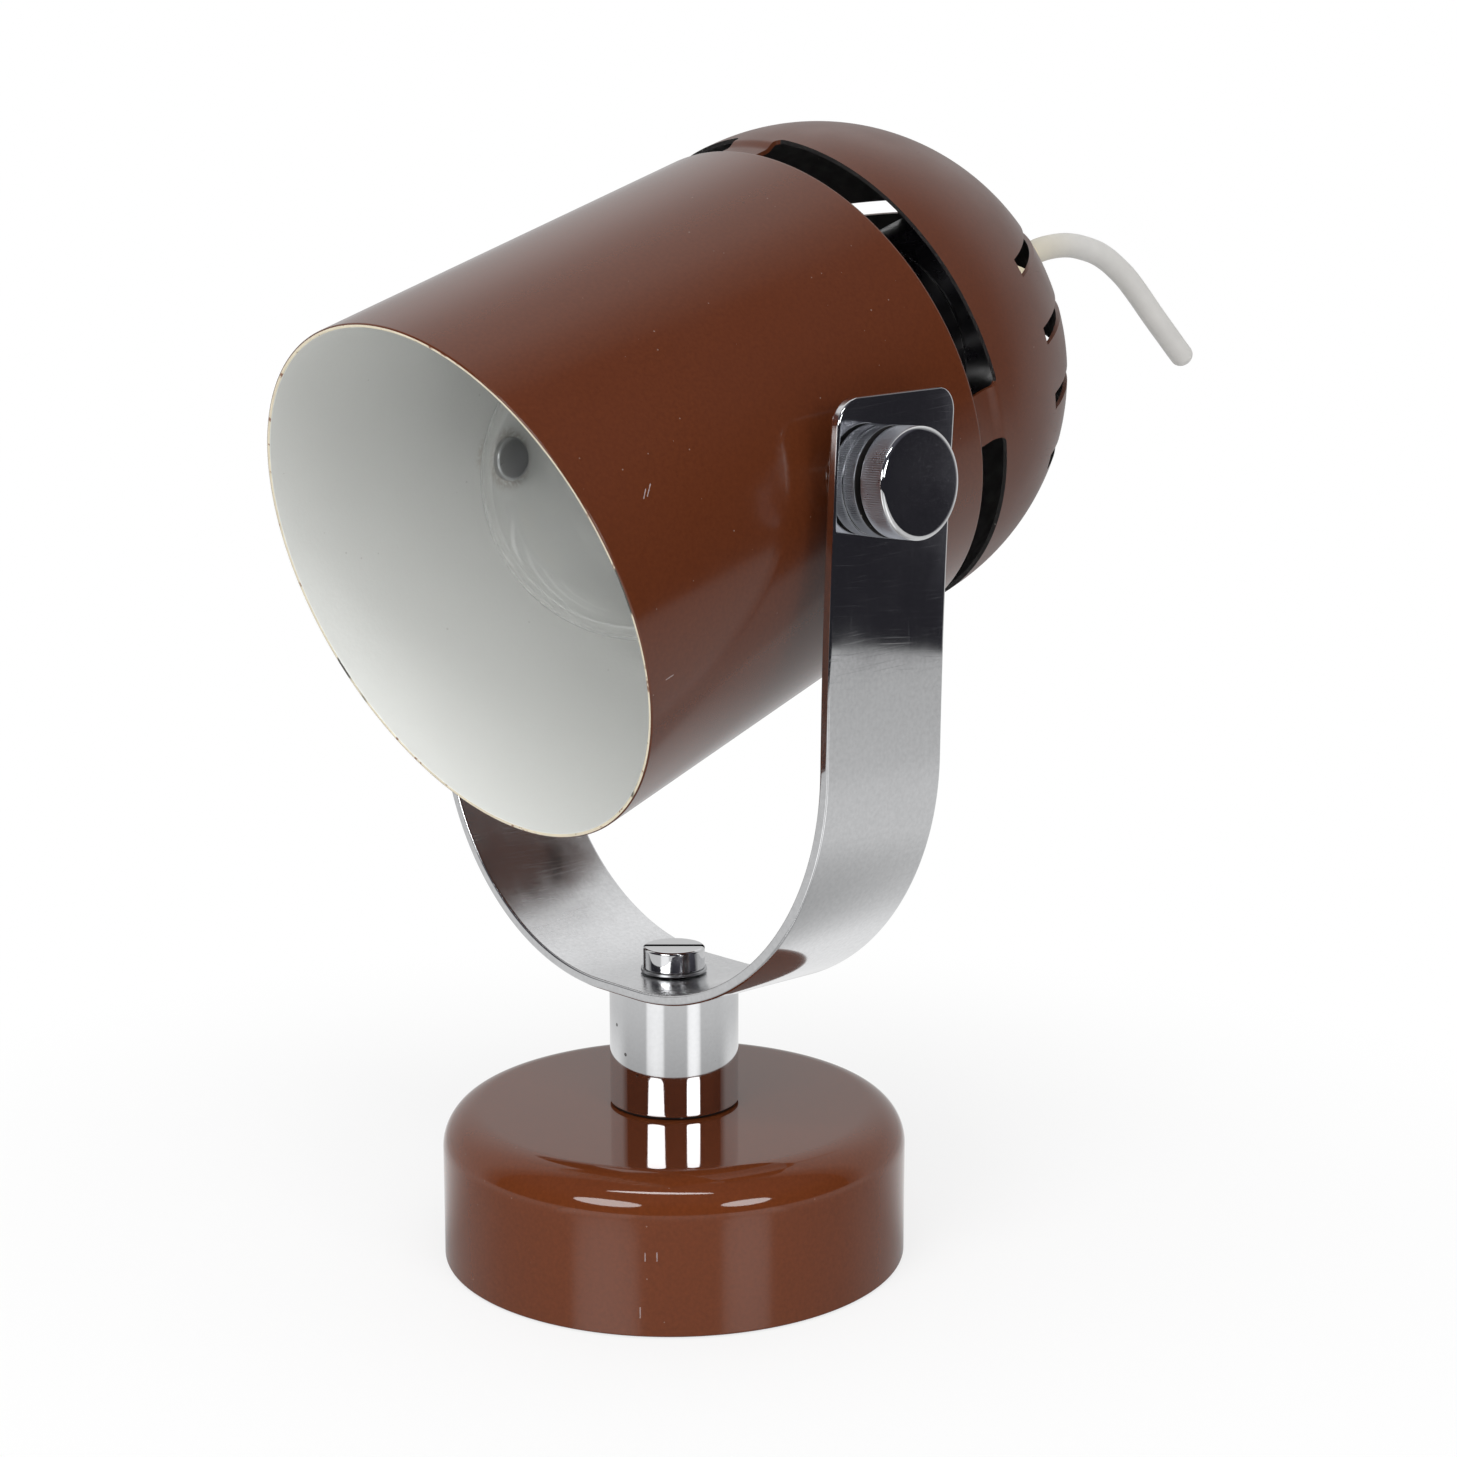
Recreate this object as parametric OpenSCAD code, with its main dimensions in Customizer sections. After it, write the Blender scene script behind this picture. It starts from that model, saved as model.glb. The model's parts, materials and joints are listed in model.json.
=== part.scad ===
// Adjustable wall spot: a drawn canopy, a chromed stem and U-shaped yoke, and a lacquered tubular head.
// The origin is the middle of the canopy's open face, on the wall, and +Z runs out along the stem.
// The tilt axis lies along X, and the mouth of the shade looks towards -Y and down.

/* [Canopy] */
// Outside diameter of the canopy
canopy_d = 90; // [80:1:120]
// Height of the canopy off the wall
canopy_h = 29; // [24:0.5:40]
// Radius of the drawn edge between side and top
canopy_edge_r = 7.5; // [3:0.5:10]
// Sheet thickness of the canopy
canopy_t = 1; // [0.6:0.1:1.5]

/* [Wall bracket] */
// Width of the bracket strip
bracket_w = 20; // [16:1:26]
// Sheet thickness of the bracket
bracket_t = 1.5; // [1:0.1:2.5]
// Height of the bridge off the wall
bridge_h = 17; // [13:0.5:20]
// Width of the bridge between its legs, outside
bridge_w = 34; // [26:1:38]
// Room between the bracket's two ends and the canopy's wall
bracket_end_gap = 4; // [2:0.5:8]
// Width of each slot for a wall screw
slot_w = 4.5; // [3.5:0.5:6]
// Length of each slot, end to end
slot_l = 12; // [8:1:14]
// Sheet left between a slot and the end of the bracket
slot_edge = 4; // [3:0.5:6]

/* [Stem] */
// Outside diameter of the stem collar
stem_d = 25; // [18:0.5:40]
// Height from the canopy's top to the underside of the yoke
stem_h = 24; // [14:0.5:60]
// Wall of the stem collar
stem_t = 1.2; // [0.8:0.1:2.5]
// Rounding of the stem's foot
stem_foot_r = 0.8; // [0.3:0.1:1]
// Thread diameter of the swivel screw
screw_d = 6; // [5:0.5:8]
// Diameter of the swivel screw's head
screw_head_d = 12; // [10:0.5:16]
// Height of the swivel screw's head
screw_head_h = 4.2; // [3:0.1:7]
// Rounding of the head's top edge
screw_head_r = 0.6; // [0.2:0.1:1.2]
// Width of the driver slot
driver_slot_w = 1.4; // [1:0.1:2]
// Depth of the driver slot
driver_slot_depth = 1.6; // [1:0.1:2.4]
// Turn of the driver slot about the stem
driver_slot_turn = 47; // [0:1:180]
// Thread that stands out under the bracket's nut
screw_tail = 2; // [1:0.5:5]
// Diameter of the tension washer
tension_washer_d = 12.8; // [11:0.2:18]
// Thickness of the tension washer
tension_washer_t = 0.6; // [0.4:0.1:1.2]
// Side of the square nut
nut_w = 10; // [9:0.5:14]
// Height of the square nut
nut_h = 4; // [3:0.5:6]

/* [Yoke] */
// Width of the yoke strap
strap_w = 28.6; // [20:0.2:40]
// Thickness of the yoke strap
strap_t = 2; // [1.5:0.1:3]
// Outside radius of the two bends at the bottom of the yoke
bend_r = 50; // [40:0.5:51]
// Height of the tilt axis above the underside of the yoke
pivot_rise = 99; // [97:0.5:140]
// Length of the arms past the tilt axis
arm_over = 14.8; // [11:0.2:20]
// Corner radius of the arm ends
arm_corner_r = 4.5; // [1:0.5:8]
// Distance of the tilt axis in front of the middle of the strap
pivot_ahead = 2.5; // [0:0.5:3]
// Room between the shade and each arm
arm_gap = 4.2; // [3:0.1:8]

/* [Head] */
// Tilt of the head as drawn, mouth down
head_tilt = 21.5; // [0:0.5:60]
// Outside diameter of the shade
shade_d = 98; // [96:1:104]
// Length of the shade from the tilt axis to the mouth
shade_front = 53; // [45:0.5:65]
// Length of the shade behind the tilt axis
shade_back = 34; // [28:0.5:40]
// Sheet thickness of the shade and the dome
sheet_t = 0.8; // [0.6:0.1:1.2]
// Open gap between the shade and the dome
air_gap = 6.2; // [3:0.2:9]
// Straight skirt of the dome before it curves
dome_skirt = 3.1; // [1:0.1:6]
// Radius of the flat seat pressed into the dome's pole
pole_seat_r = 9; // [8.6:0.1:11]
// Number of tabs that carry the dome
tab_count = 4; // [3:1:6]
// Width of each tab
tab_w = 10; // [6:0.5:14]
// Length of each tab inside the shade
tab_lap = 9; // [5:0.5:14]
// Radius of the corners where each tab leaves the dome
tab_root_r = 1.5; // [0.5:0.1:2.5]
// Length of the joggle that steps each tab inwards
joggle_l = 2.4; // [1.4:0.2:3]
// Turn of the dome about the head's axis, as fitted
dome_turn = -5; // [-20:1:20]
// Rows of vents on each side of the dome
vent_rows = 4; // [2:1:5]
// Spacing of the rows
vent_pitch = 13; // [8:0.5:14]
// Width of each vent
vent_w = 3.3; // [2:0.1:5]
// Width of the plain band between the left and the right vents
vent_band = 22; // [20:1:30]
// Distance of the vents' outer ends behind the dome's widest circle
vent_start = 16; // [8:0.5:22]

/* [Tilt hardware] */
// Diameter of the pivot studs
stud_d = 5; // [4:0.5:6]
// Diameter of the studs' heads inside the shade
stud_head_d = 9; // [8:0.5:12]
// Height of the studs' heads
stud_head_h = 2.4; // [1.6:0.2:3.4]
// Length of each stud inside its knob
stud_grip = 6.5; // [4:0.5:7]
// Outside diameter of the spacers between shade and arms
spacer_d = 12; // [9:0.5:16]
// Diameter of the knobs
knob_d = 19; // [15:0.5:24]
// Length of the knobs
knob_l = 9.5; // [8:0.5:14]
// Width of the groove between the two bands of a knob
knob_groove_w = 1; // [0.6:0.1:1.6]
// Depth of that groove
knob_groove_depth = 1.1; // [0.4:0.1:2]
// Width of the band next to the arm
knob_band_w = 3.6; // [2.4:0.2:5]
// Rounding of a knob's outer edge
knob_edge_r = 1.2; // [0.3:0.1:1.5]

/* [Lamp holder] */
// Outside diameter of the lamp holder
holder_d = 39; // [37:0.5:42]
// Wall of the lamp holder's shoulder and sides
holder_t = 2.5; // [2:0.1:3]
// Thickness of the holder's rear wall round the nipple
holder_rear_t = 4.4; // [3.5:0.1:6]
// Depth of the wiring space behind the core
wiring_depth = 5.6; // [4:0.2:8]
// Thickness of the ceramic core
core_t = 8.4; // [6:0.2:10]
// Width of the ledge that the core sits on
core_ledge = 1.5; // [1:0.1:3]
// Height of the part of the cap that overlaps the skirt's spigot
spigot_l = 5.5; // [4:0.5:7]
// Length of the skirt in front of the cap
skirt_l = 25; // [18:0.5:28]
// Thickness of the brass screw shell
shell_t = 0.4; // [0.3:0.1:0.6]
// Length of the brass screw shell
shell_l = 23; // [16:0.5:24]
// Height of the centre contact over the core
tongue_h = 1; // [0.8:0.1:2]
// Width of the centre contact's strip
tongue_w = 6; // [4:0.5:8]
// Length of the centre contact's strip
tongue_l = 15; // [10:0.5:16]
// Thread diameter of the entry nipple
nipple_d = 10; // [9:0.5:11]
// Wall of the entry nipple
nipple_t = 1; // [0.8:0.1:1.4]
// Length of the nipple past the grip's flange
nipple_lead = 2; // [1:0.5:4]
// Thickness of the lock washer on the nipple
lock_washer_t = 0.8; // [0.5:0.1:1.2]
// Distance of each terminal screw from the holder's axis
terminal_x = 8; // [7:0.5:10]
// Diameter of the terminal screws' heads
terminal_d = 5; // [4:0.5:6]
// Height of the terminal screws' heads
terminal_h = 2.6; // [1.6:0.2:3]

/* [Bulb] */
// Diameter of the bulb's globe
bulb_d = 60; // [50:1:62]
// Diameter of the bulb's glass neck
bulb_neck_d = 25.6; // [22:0.2:26]
// Radius of the sweep from neck to globe
bulb_sweep_r = 45; // [30:1:60]
// Thickness of the glass
glass_t = 0.7; // [0.5:0.1:1.2]
// Diameter over the screw thread of the bulb's cap
bulb_cap_d = 26.4; // [26.4:0.1:27]
// Length of the bulb's screw cap
bulb_cap_l = 22; // [18:0.5:24]
// Height of the black insulator at the cap's end
insulator_h = 3.4; // [2.4:0.2:5]
// Height of the solder tip
tip_h = 0.8; // [0.5:0.1:1.5]
// Diameter of the solder tip
tip_d = 8; // [6:0.5:10]
// Diameter of the glass mount inside the bulb
mount_d = 10; // [7:0.5:12]
// Height of the glass mount from the cap's rim
mount_h = 26; // [18:1:36]
// Height of the filament over the glass mount
filament_rise = 22; // [12:1:26]
// Radius of the filament's bow
filament_r = 11; // [6:0.5:14]
// Thickness of the filament's coil
filament_d = 0.7; // [0.5:0.1:1.2]
// Thickness of the lead-in wires
support_d = 0.8; // [0.5:0.1:1.2]

/* [Cord] */
// Diameter of the cord
cord_d = 5.2; // [4.2:0.1:6]
// Length of the tapered grip behind the dome
grip_l = 20.5; // [16:0.5:40]
// Diameter of the grip's flange
grip_d = 16; // [14:0.5:18]
// Height of the grip's flange
grip_flange_h = 3.5; // [2.5:0.5:5]
// Diameter of the grip's taper behind the flange
grip_root_d = 12.6; // [12.2:0.2:14]
// Wall of the grip at its thin end
grip_end_t = 0.9; // [0.6:0.1:1.6]
// Length of the cord inside the grip
cord_inside = 8; // [4:0.5:10]
// Diameter of each core inside the cord
core_wire_d = 2.1; // [1.6:0.1:2.2]

/* [Fits] */
// Radial clearance of a piece that turns on a pin
running_gap = 0.05; // [0.02:0.01:0.1]
// Gap between pieces that move past each other
moving_gap = 0.3; // [0.2:0.05:0.5]
// Radial room round a screw that only passes through
pass_gap = 0.2; // [0.1:0.05:0.5]

/* [Hidden] */
$fn = 96;
cut = 1;

brown = "#6a3626";
chrome = "#c9ccd0";
steel = "#9a9c9e";
brass = "#b8964a";
bakelite = "#1b1a1a";
ceramic = "#e8e4da";
clear_glass = "#dfe8ec";
pvc = "#e6e4df";
nylon = "#e0d6b4";

// Heights on the stem
yoke_z = canopy_h + stem_h;
pivot_z = yoke_z + pivot_rise;
washer_z = yoke_z + strap_t + moving_gap;
head_z = washer_z + tension_washer_t;
bridge_under_z = bridge_h - bracket_t;
screw_bottom_z = bridge_under_z - nut_h - screw_tail;
bracket_l = canopy_d - 2 * canopy_t - 2 * bracket_end_gap;
slot_spacing = bracket_l - slot_l - 2 * slot_edge;

// Distances across the yoke
shade_r = shade_d / 2;
shade_in_r = shade_r - sheet_t;
arm_in_x = shade_r + arm_gap;
arm_out_x = arm_in_x + strap_t;
yoke_flat = arm_out_x - bend_r;
bend_z = yoke_z + bend_r;
arm_top_z = pivot_z + arm_over;
knob_in_x = arm_out_x + moving_gap;
knob_face_x = knob_in_x + knob_l;
stud_end_x = knob_in_x + stud_grip;
stud_seat_x = sqrt(pow(shade_in_r, 2) - pow(stud_head_d / 2, 2));

// Places along the head's axis, forward from the tilt axis
dome_edge_z = -(shade_back + air_gap);
equator_z = dome_edge_z - dome_skirt;
pole_z = equator_z - sqrt(pow(shade_r, 2) - pow(pole_seat_r, 2));
pole_in_z = pole_z + sheet_t;
holder_back_z = pole_in_z + lock_washer_t;
cavity_z = holder_back_z + holder_rear_t;
core_back_z = cavity_z + wiring_depth;
core_front_z = core_back_z + core_t;
cap_front_z = core_front_z + spigot_l;
skirt_front_z = cap_front_z + skirt_l;
bulb_tip_z = core_front_z + tongue_h + moving_gap;
insulator_z = bulb_tip_z + tip_h;
bulb_cap_z = insulator_z + insulator_h;
bulb_rim_z = bulb_cap_z + bulb_cap_l;
grip_end_z = pole_z - grip_l;
nipple_in_z = cavity_z + cut;
nipple_out_z = pole_z - grip_flange_h - nipple_lead;

// Radii inside the lamp holder
holder_r = holder_d / 2;
shell_in_r = bulb_cap_d / 2 + running_gap;
shell_out_r = shell_in_r + shell_t;
skirt_in_r = shell_out_r + moving_gap + pass_gap;
spigot_r = holder_r - holder_t;
cavity_r = spigot_r - core_ledge;

// Bulb outline: the sweep's circle touches the globe's circle and the neck's line
bulb_r = bulb_d / 2;
neck_r = bulb_neck_d / 2;
sweep_x = neck_r + bulb_sweep_r;
neck_z = bulb_rim_z + cut;
globe_z = neck_z + sqrt(pow(bulb_r + bulb_sweep_r, 2) - pow(sweep_x, 2));
sweep_share = bulb_r / (bulb_r + bulb_sweep_r);
touch_x = sweep_x * sweep_share;
touch_z = globe_z - (globe_z - neck_z) * sweep_share;
mount_top_z = bulb_rim_z + mount_h;
filament_z = mount_top_z + filament_rise;

// Cord route in the head's middle plane: distance behind the grip's end, then height
cord_route = [
    [-8, 0], [-4, 0], [0, 0], [4, -0.2], [8, -0.9], [12, -2], [15.5, -3.4], [19, -5.3], [22.4, -7.5],
    [25.4, -10.1], [28, -13], [30.5, -16.2], [32.5, -19.4], [34.4, -22.7], [36.2, -26], [38, -29.2],
    [39.8, -32.3], [41.5, -35.2], [43, -37.8], [44.5, -40.3]
];
cord_sides = 10;

// Places children in the head: local +Z runs out of the mouth, local +Y is the head's top
module in_head() {
    translate([0, -pivot_ahead, pivot_z])
        rotate([90 + head_tilt, 0, 0])
            children();
}

// Turns a piece drawn along +Z to lie along +X on the tilt axis
module on_tilt_axis() {
    in_head()
        rotate([0, 90, 0])
            children();
}

// Half section of a drawn cup with a rounded top edge
module cup_section(r, h, edge_r) {
    square([r, h - edge_r]);
    square([r - edge_r, h]);
    translate([r - edge_r, h - edge_r])
        circle(edge_r);
}

// Half section of a ring
module ring_section(in_r, out_r, from_z, to_z) {
    translate([in_r, from_z])
        square([out_r - in_r, to_z - from_z]);
}

// Ring on Z
module ring(in_r, out_r, from_z, to_z) {
    rotate_extrude()
        ring_section(in_r, out_r, from_z, to_z);
}

// Straight bore on Z
module bore(r, from_z, to_z) {
    translate([0, 0, from_z])
        cylinder(r = r, h = to_z - from_z);
}

// Outline of a slot along X with round ends
module slot_outline(length, width) {
    square([length - width, width], center = true);
    for (side = [-1, 1])
        translate([side * (length - width) / 2, 0])
            circle(width / 2);
}

module base_canopy() {
    color(brown)
        difference() {
            rotate_extrude()
                cup_section(canopy_d / 2, canopy_h, canopy_edge_r);
            translate([0, 0, -cut])
                rotate_extrude()
                    cup_section(canopy_d / 2 - canopy_t, canopy_h - canopy_t + cut, canopy_edge_r - canopy_t);
            bore(screw_d / 2 + pass_gap, 0, canopy_h + cut);
        }
}

// Bracket seen from the front: two feet on the wall, two legs and the bridge
module bracket_section() {
    for (side = [0, 1])
        mirror([side, 0])
            union() {
                translate([bridge_w / 2 - bracket_t, 0])
                    square([bracket_l / 2 - bridge_w / 2 + bracket_t, bracket_t]);
                translate([bridge_w / 2 - bracket_t, 0])
                    square([bracket_t, bridge_h]);
            }
    translate([-bridge_w / 2, bridge_under_z])
        square([bridge_w, bracket_t]);
}

module wall_bracket() {
    color(steel)
        difference() {
            intersection() {
                rotate([90, 0, 0])
                    linear_extrude(bracket_w, center = true)
                        bracket_section();
                linear_extrude(bridge_h)
                    slot_outline(bracket_l, bracket_w);
            }
            for (side = [-1, 1])
                translate([side * slot_spacing / 2, 0, -cut])
                    linear_extrude(bracket_t + 2 * cut)
                        slot_outline(slot_l, slot_w);
            bore(screw_d / 2 + pass_gap, bridge_under_z - cut, bridge_h + cut);
        }
}

module bracket_nut() {
    color(steel)
        difference() {
            translate([-nut_w / 2, -nut_w / 2, bridge_under_z - nut_h])
                cube([nut_w, nut_w, nut_h]);
            bore(screw_d / 2, bridge_under_z - nut_h - cut, bridge_under_z + cut);
        }
}

module stem_collar() {
    collar_h = stem_h - moving_gap;
    color(chrome)
        translate([0, 0, canopy_h])
            difference() {
                translate([0, 0, collar_h])
                    rotate([180, 0, 0])
                        rotate_extrude()
                            cup_section(stem_d / 2, collar_h, stem_foot_r);
                bore(stem_d / 2 - stem_t, -cut, collar_h - stem_t);
                bore(screw_d / 2 + pass_gap, 0, collar_h + cut);
            }
}

module swivel_screw() {
    color(chrome)
        difference() {
            union() {
                bore(screw_d / 2, screw_bottom_z, head_z + cut);
                translate([0, 0, head_z])
                    rotate_extrude()
                        cup_section(screw_head_d / 2, screw_head_h, screw_head_r);
            }
            translate([0, 0, head_z + screw_head_h - driver_slot_depth])
                rotate([0, 0, driver_slot_turn])
                    translate([-screw_head_d, -driver_slot_w / 2, 0])
                        cube([2 * screw_head_d, driver_slot_w, driver_slot_depth + cut]);
        }
}

module tension_washer() {
    color(steel)
        ring(screw_d / 2 + pass_gap, tension_washer_d / 2, washer_z, head_z);
}

// Yoke seen from the front, inset from its outside by a depth: two bends, a flat seat and straight arms
module yoke_outline(inset) {
    r = bend_r - inset;
    for (side = [-1, 1])
        translate([side * yoke_flat, bend_z])
            circle(r);
    translate([-yoke_flat, bend_z - r])
        square([2 * yoke_flat, r]);
    translate([-yoke_flat - r, bend_z])
        square([2 * (yoke_flat + r), arm_top_z - bend_z + inset]);
}

// Yoke seen from the side: a strip with two round corners at the top
module strap_outline() {
    translate([-strap_w / 2, 0])
        square([strap_w, arm_top_z - arm_corner_r]);
    translate([-strap_w / 2 + arm_corner_r, 0])
        square([strap_w - 2 * arm_corner_r, arm_top_z]);
    for (side = [-1, 1])
        translate([side * (strap_w / 2 - arm_corner_r), arm_top_z - arm_corner_r])
            circle(arm_corner_r);
}

module yoke_strap() {
    color(chrome)
        difference() {
            intersection() {
                rotate([90, 0, 0])
                    linear_extrude(strap_w, center = true)
                        difference() {
                            yoke_outline(0);
                            yoke_outline(strap_t);
                        }
                rotate([90, 0, 90])
                    linear_extrude(2 * arm_out_x + cut, center = true)
                        strap_outline();
            }
            bore(screw_d / 2 + running_gap, yoke_z - cut, yoke_z + strap_t + cut);
            for (side = [-1, 1])
                translate([side * (arm_in_x + strap_t / 2), -pivot_ahead, pivot_z])
                    rotate([0, 90, 0])
                        cylinder(r = stud_d / 2 + running_gap, h = strap_t + 2 * cut, center = true);
        }
}

module shade_tube() {
    color(brown)
        difference() {
            in_head()
                ring(shade_in_r, shade_r, -shade_back, shade_front);
            on_tilt_axis()
                cylinder(r = stud_d / 2 + pass_gap, h = 2 * shade_d, center = true);
        }
}

// Half section of the dome, inset from its outside by a depth: the flat seat, a quarter circle, the skirt
// and the joggle that steps inwards by one sheet and runs on inside the shade
module dome_section(inset) {
    r = shade_r - inset;
    lap_r = shade_in_r - inset;
    seat_z = pole_z + inset;
    step_z = dome_edge_z - inset / 2;
    lap_z = -shade_back + tab_lap + inset;
    intersection() {
        translate([0, equator_z])
            circle(r);
        translate([0, seat_z])
            square([r, equator_z - seat_z]);
    }
    polygon([
        [0, equator_z], [r, equator_z], [r, step_z], [lap_r, step_z + joggle_l], [lap_r, lap_z], [0, lap_z]
    ]);
}

// One tab seen from outside: a strip with a round corner on each side of its root
module tab_outline() {
    half_w = tab_w / 2;
    lap_end_z = -shade_back + tab_lap + 2 * cut;
    translate([-half_w, dome_edge_z - cut])
        square([tab_w, lap_end_z - dome_edge_z + cut]);
    difference() {
        translate([-half_w - tab_root_r, dome_edge_z - cut])
            square([tab_w + 2 * tab_root_r, tab_root_r + cut]);
        for (side = [-1, 1])
            translate([side * (half_w + tab_root_r), dome_edge_z + tab_root_r])
                circle(tab_root_r + running_gap);
    }
}

// The ring cut away between the dome's edge and the ends of the tabs, with the tabs left standing
module tab_windows() {
    inner_r = shade_in_r - 2 * sheet_t;
    outer_r = shade_r + sheet_t;
    difference() {
        ring(inner_r, outer_r, dome_edge_z, -shade_back + tab_lap + cut);
        for (i = [0 : tab_count - 1])
            rotate([0, 0, 90 + i * 360 / tab_count])
                translate([0, -inner_r / 2, 0])
                    rotate([90, 0, 0])
                        linear_extrude(outer_r)
                            tab_outline();
    }
}

// One row of vents, left and right, sawn in from the back of the dome
module vent_row(height) {
    for (side = [0, 1])
        mirror([side, 0, 0])
            translate([vent_band / 2, height - vent_w / 2, pole_z - cut])
                cube([shade_r, vent_w, equator_z - vent_start - pole_z + cut]);
}

module rear_dome() {
    color(brown)
        in_head()
            rotate([0, 0, dome_turn])
                difference() {
                    rotate_extrude()
                        difference() {
                            dome_section(0);
                            dome_section(sheet_t);
                        }
                    bore(nipple_d / 2 + pass_gap, pole_z - cut, pole_in_z + cut);
                    tab_windows();
                    for (i = [0 : vent_rows - 1])
                        vent_row((i - (vent_rows - 1) / 2) * vent_pitch);
                }
}

// Headed stud from inside the shade, drawn for the right side
module pivot_stud() {
    bore(stud_d / 2, stud_seat_x - stud_head_h, stud_end_x);
    bore(stud_head_d / 2, stud_seat_x - stud_head_h, stud_seat_x);
}

// Distance ring between the shade and the arm, drawn for the right side
module spacer() {
    ring(stud_d / 2, spacer_d / 2, shade_r, arm_in_x - moving_gap);
}

// Thumb nut with two bands and a groove, drawn for the right side
module knob() {
    groove_x = knob_in_x + knob_band_w;
    difference() {
        translate([0, 0, knob_in_x])
            rotate_extrude()
                cup_section(knob_d / 2, knob_l, knob_edge_r);
        ring(knob_d / 2 - knob_groove_depth, knob_d, groove_x, groove_x + knob_groove_w);
        bore(stud_d / 2 + running_gap, knob_in_x - cut, stud_end_x + moving_gap);
    }
}

module pivot_stud_right() {
    color(steel)
        on_tilt_axis()
            pivot_stud();
}

module pivot_stud_left() {
    color(steel)
        mirror([1, 0, 0])
            on_tilt_axis()
                pivot_stud();
}

module spacer_right() {
    color(chrome)
        on_tilt_axis()
            spacer();
}

module spacer_left() {
    color(chrome)
        mirror([1, 0, 0])
            on_tilt_axis()
                spacer();
}

module knob_right() {
    color(chrome)
        on_tilt_axis()
            knob();
}

module knob_left() {
    color(chrome)
        mirror([1, 0, 0])
            on_tilt_axis()
                knob();
}

// Rear half of the lamp holder: a shoulder that narrows to the seat on the nipple
module holder_cap() {
    neck_out_r = nipple_d / 2 + holder_t;
    shoulder_z = cavity_z + holder_t;
    color(bakelite)
        in_head()
            difference() {
                rotate_extrude() {
                    polygon([
                        [0, holder_back_z], [neck_out_r, holder_back_z], [holder_r - holder_t, cavity_z - holder_t / 2],
                        [holder_r, shoulder_z], [holder_r, cap_front_z], [0, cap_front_z]
                    ]);
                }
                bore(nipple_d / 2, holder_back_z - cut, cavity_z + cut);
                bore(cavity_r, cavity_z, cap_front_z);
                bore(spigot_r, core_back_z, cap_front_z + cut);
            }
}

// Front half of the lamp holder, with a spigot that holds the core down
module holder_skirt() {
    lip = holder_t / 2;
    color(bakelite)
        in_head()
            difference() {
                union() {
                    bore(spigot_r, core_front_z, cap_front_z + cut);
                    rotate_extrude()
                        translate([0, cap_front_z])
                            cup_section(holder_r, skirt_l, lip);
                }
                bore(skirt_in_r, core_front_z - cut, skirt_front_z + cut);
            }
}

module holder_core() {
    color(ceramic)
        in_head()
            bore(spigot_r, core_back_z, core_front_z);
}

module thread_shell() {
    flange_r = tongue_l / 2 + moving_gap + shell_t;
    color(brass)
        in_head() {
            ring(shell_in_r, shell_out_r, core_front_z, core_front_z + shell_l);
            ring(flange_r, shell_in_r, core_front_z, core_front_z + shell_t);
        }
}

module centre_contact() {
    strip_t = tongue_h / 2;
    color(brass)
        in_head()
            translate([0, 0, core_front_z]) {
                translate([-tongue_w / 2, -tongue_w / 2, 0])
                    cube([tongue_w, tongue_w / 2 + tongue_l / 2 - tongue_w / 2, strip_t]);
                cylinder(d = tongue_w, h = tongue_h);
            }
}

module terminal_screws() {
    color(brass)
        in_head()
            for (side = [-1, 1])
                translate([side * terminal_x, 0, core_back_z - terminal_h])
                    cylinder(d = terminal_d, h = terminal_h);
}

module entry_nipple() {
    color(brass)
        in_head()
            ring(nipple_d / 2 - nipple_t, nipple_d / 2, nipple_out_z, nipple_in_z);
}

module tooth_washer() {
    color(steel)
        in_head()
            ring(nipple_d / 2 + pass_gap, nipple_d / 2 + holder_t, pole_in_z, holder_back_z);
}

// Strain relief: a flange on the dome's seat and a taper down to the cord
module cord_grip() {
    end_r = cord_d / 2 + grip_end_t;
    color(nylon)
        in_head()
            difference() {
                rotate_extrude()
                    polygon([
                        [0, pole_z], [grip_d / 2, pole_z], [grip_d / 2, pole_z - grip_flange_h],
                        [grip_root_d / 2, pole_z - grip_flange_h - running_gap],
                        [grip_root_d / 2, nipple_out_z], [end_r, grip_end_z], [0, grip_end_z]
                    ]);
                bore(nipple_d / 2, nipple_out_z, pole_z + cut);
                bore(cord_d / 2 + running_gap, grip_end_z - cut, nipple_out_z + cut);
            }
}

// Two cores: straight through the nipple, then stripped and spread to the terminals
module lead_wires() {
    wire_r = core_wire_d / 2;
    copper_r = wire_r / 2;
    start_z = grip_end_z + cord_inside;
    bend_at_z = cavity_z + wiring_depth / 4;
    wire_x = wire_r + pass_gap / 2;
    reach_x = terminal_x - terminal_d / 2;
    rise = core_back_z - terminal_h / 2 - bend_at_z;
    run = reach_x - wire_x;
    color(pvc)
        in_head()
            for (side = [0, 1])
                mirror([side, 0, 0])
                    translate([wire_x, 0, 0]) {
                        bore(wire_r, start_z, bend_at_z);
                        translate([0, 0, bend_at_z - copper_r])
                            rotate([0, atan2(run, rise + copper_r), 0])
                                cylinder(r = copper_r, h = norm([run, rise + copper_r]));
                    }
}

// One ring of the cord's tube at route point i, square to the route
function route_step(i) = cord_route[min(i + 1, len(cord_route) - 1)] - cord_route[max(i - 1, 0)];
function cord_ring(i) = let (step = route_step(i), along = step / norm(step)) [
    for (k = [0 : cord_sides - 1])
        let (
            turn = 360 * k / cord_sides,
            side = cord_d / 2 * cos(turn),
            lift = cord_d / 2 * sin(turn)
        )
        [side, cord_route[i][1] + lift * along[0], grip_end_z - cord_route[i][0] + lift * along[1]]
];

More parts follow.
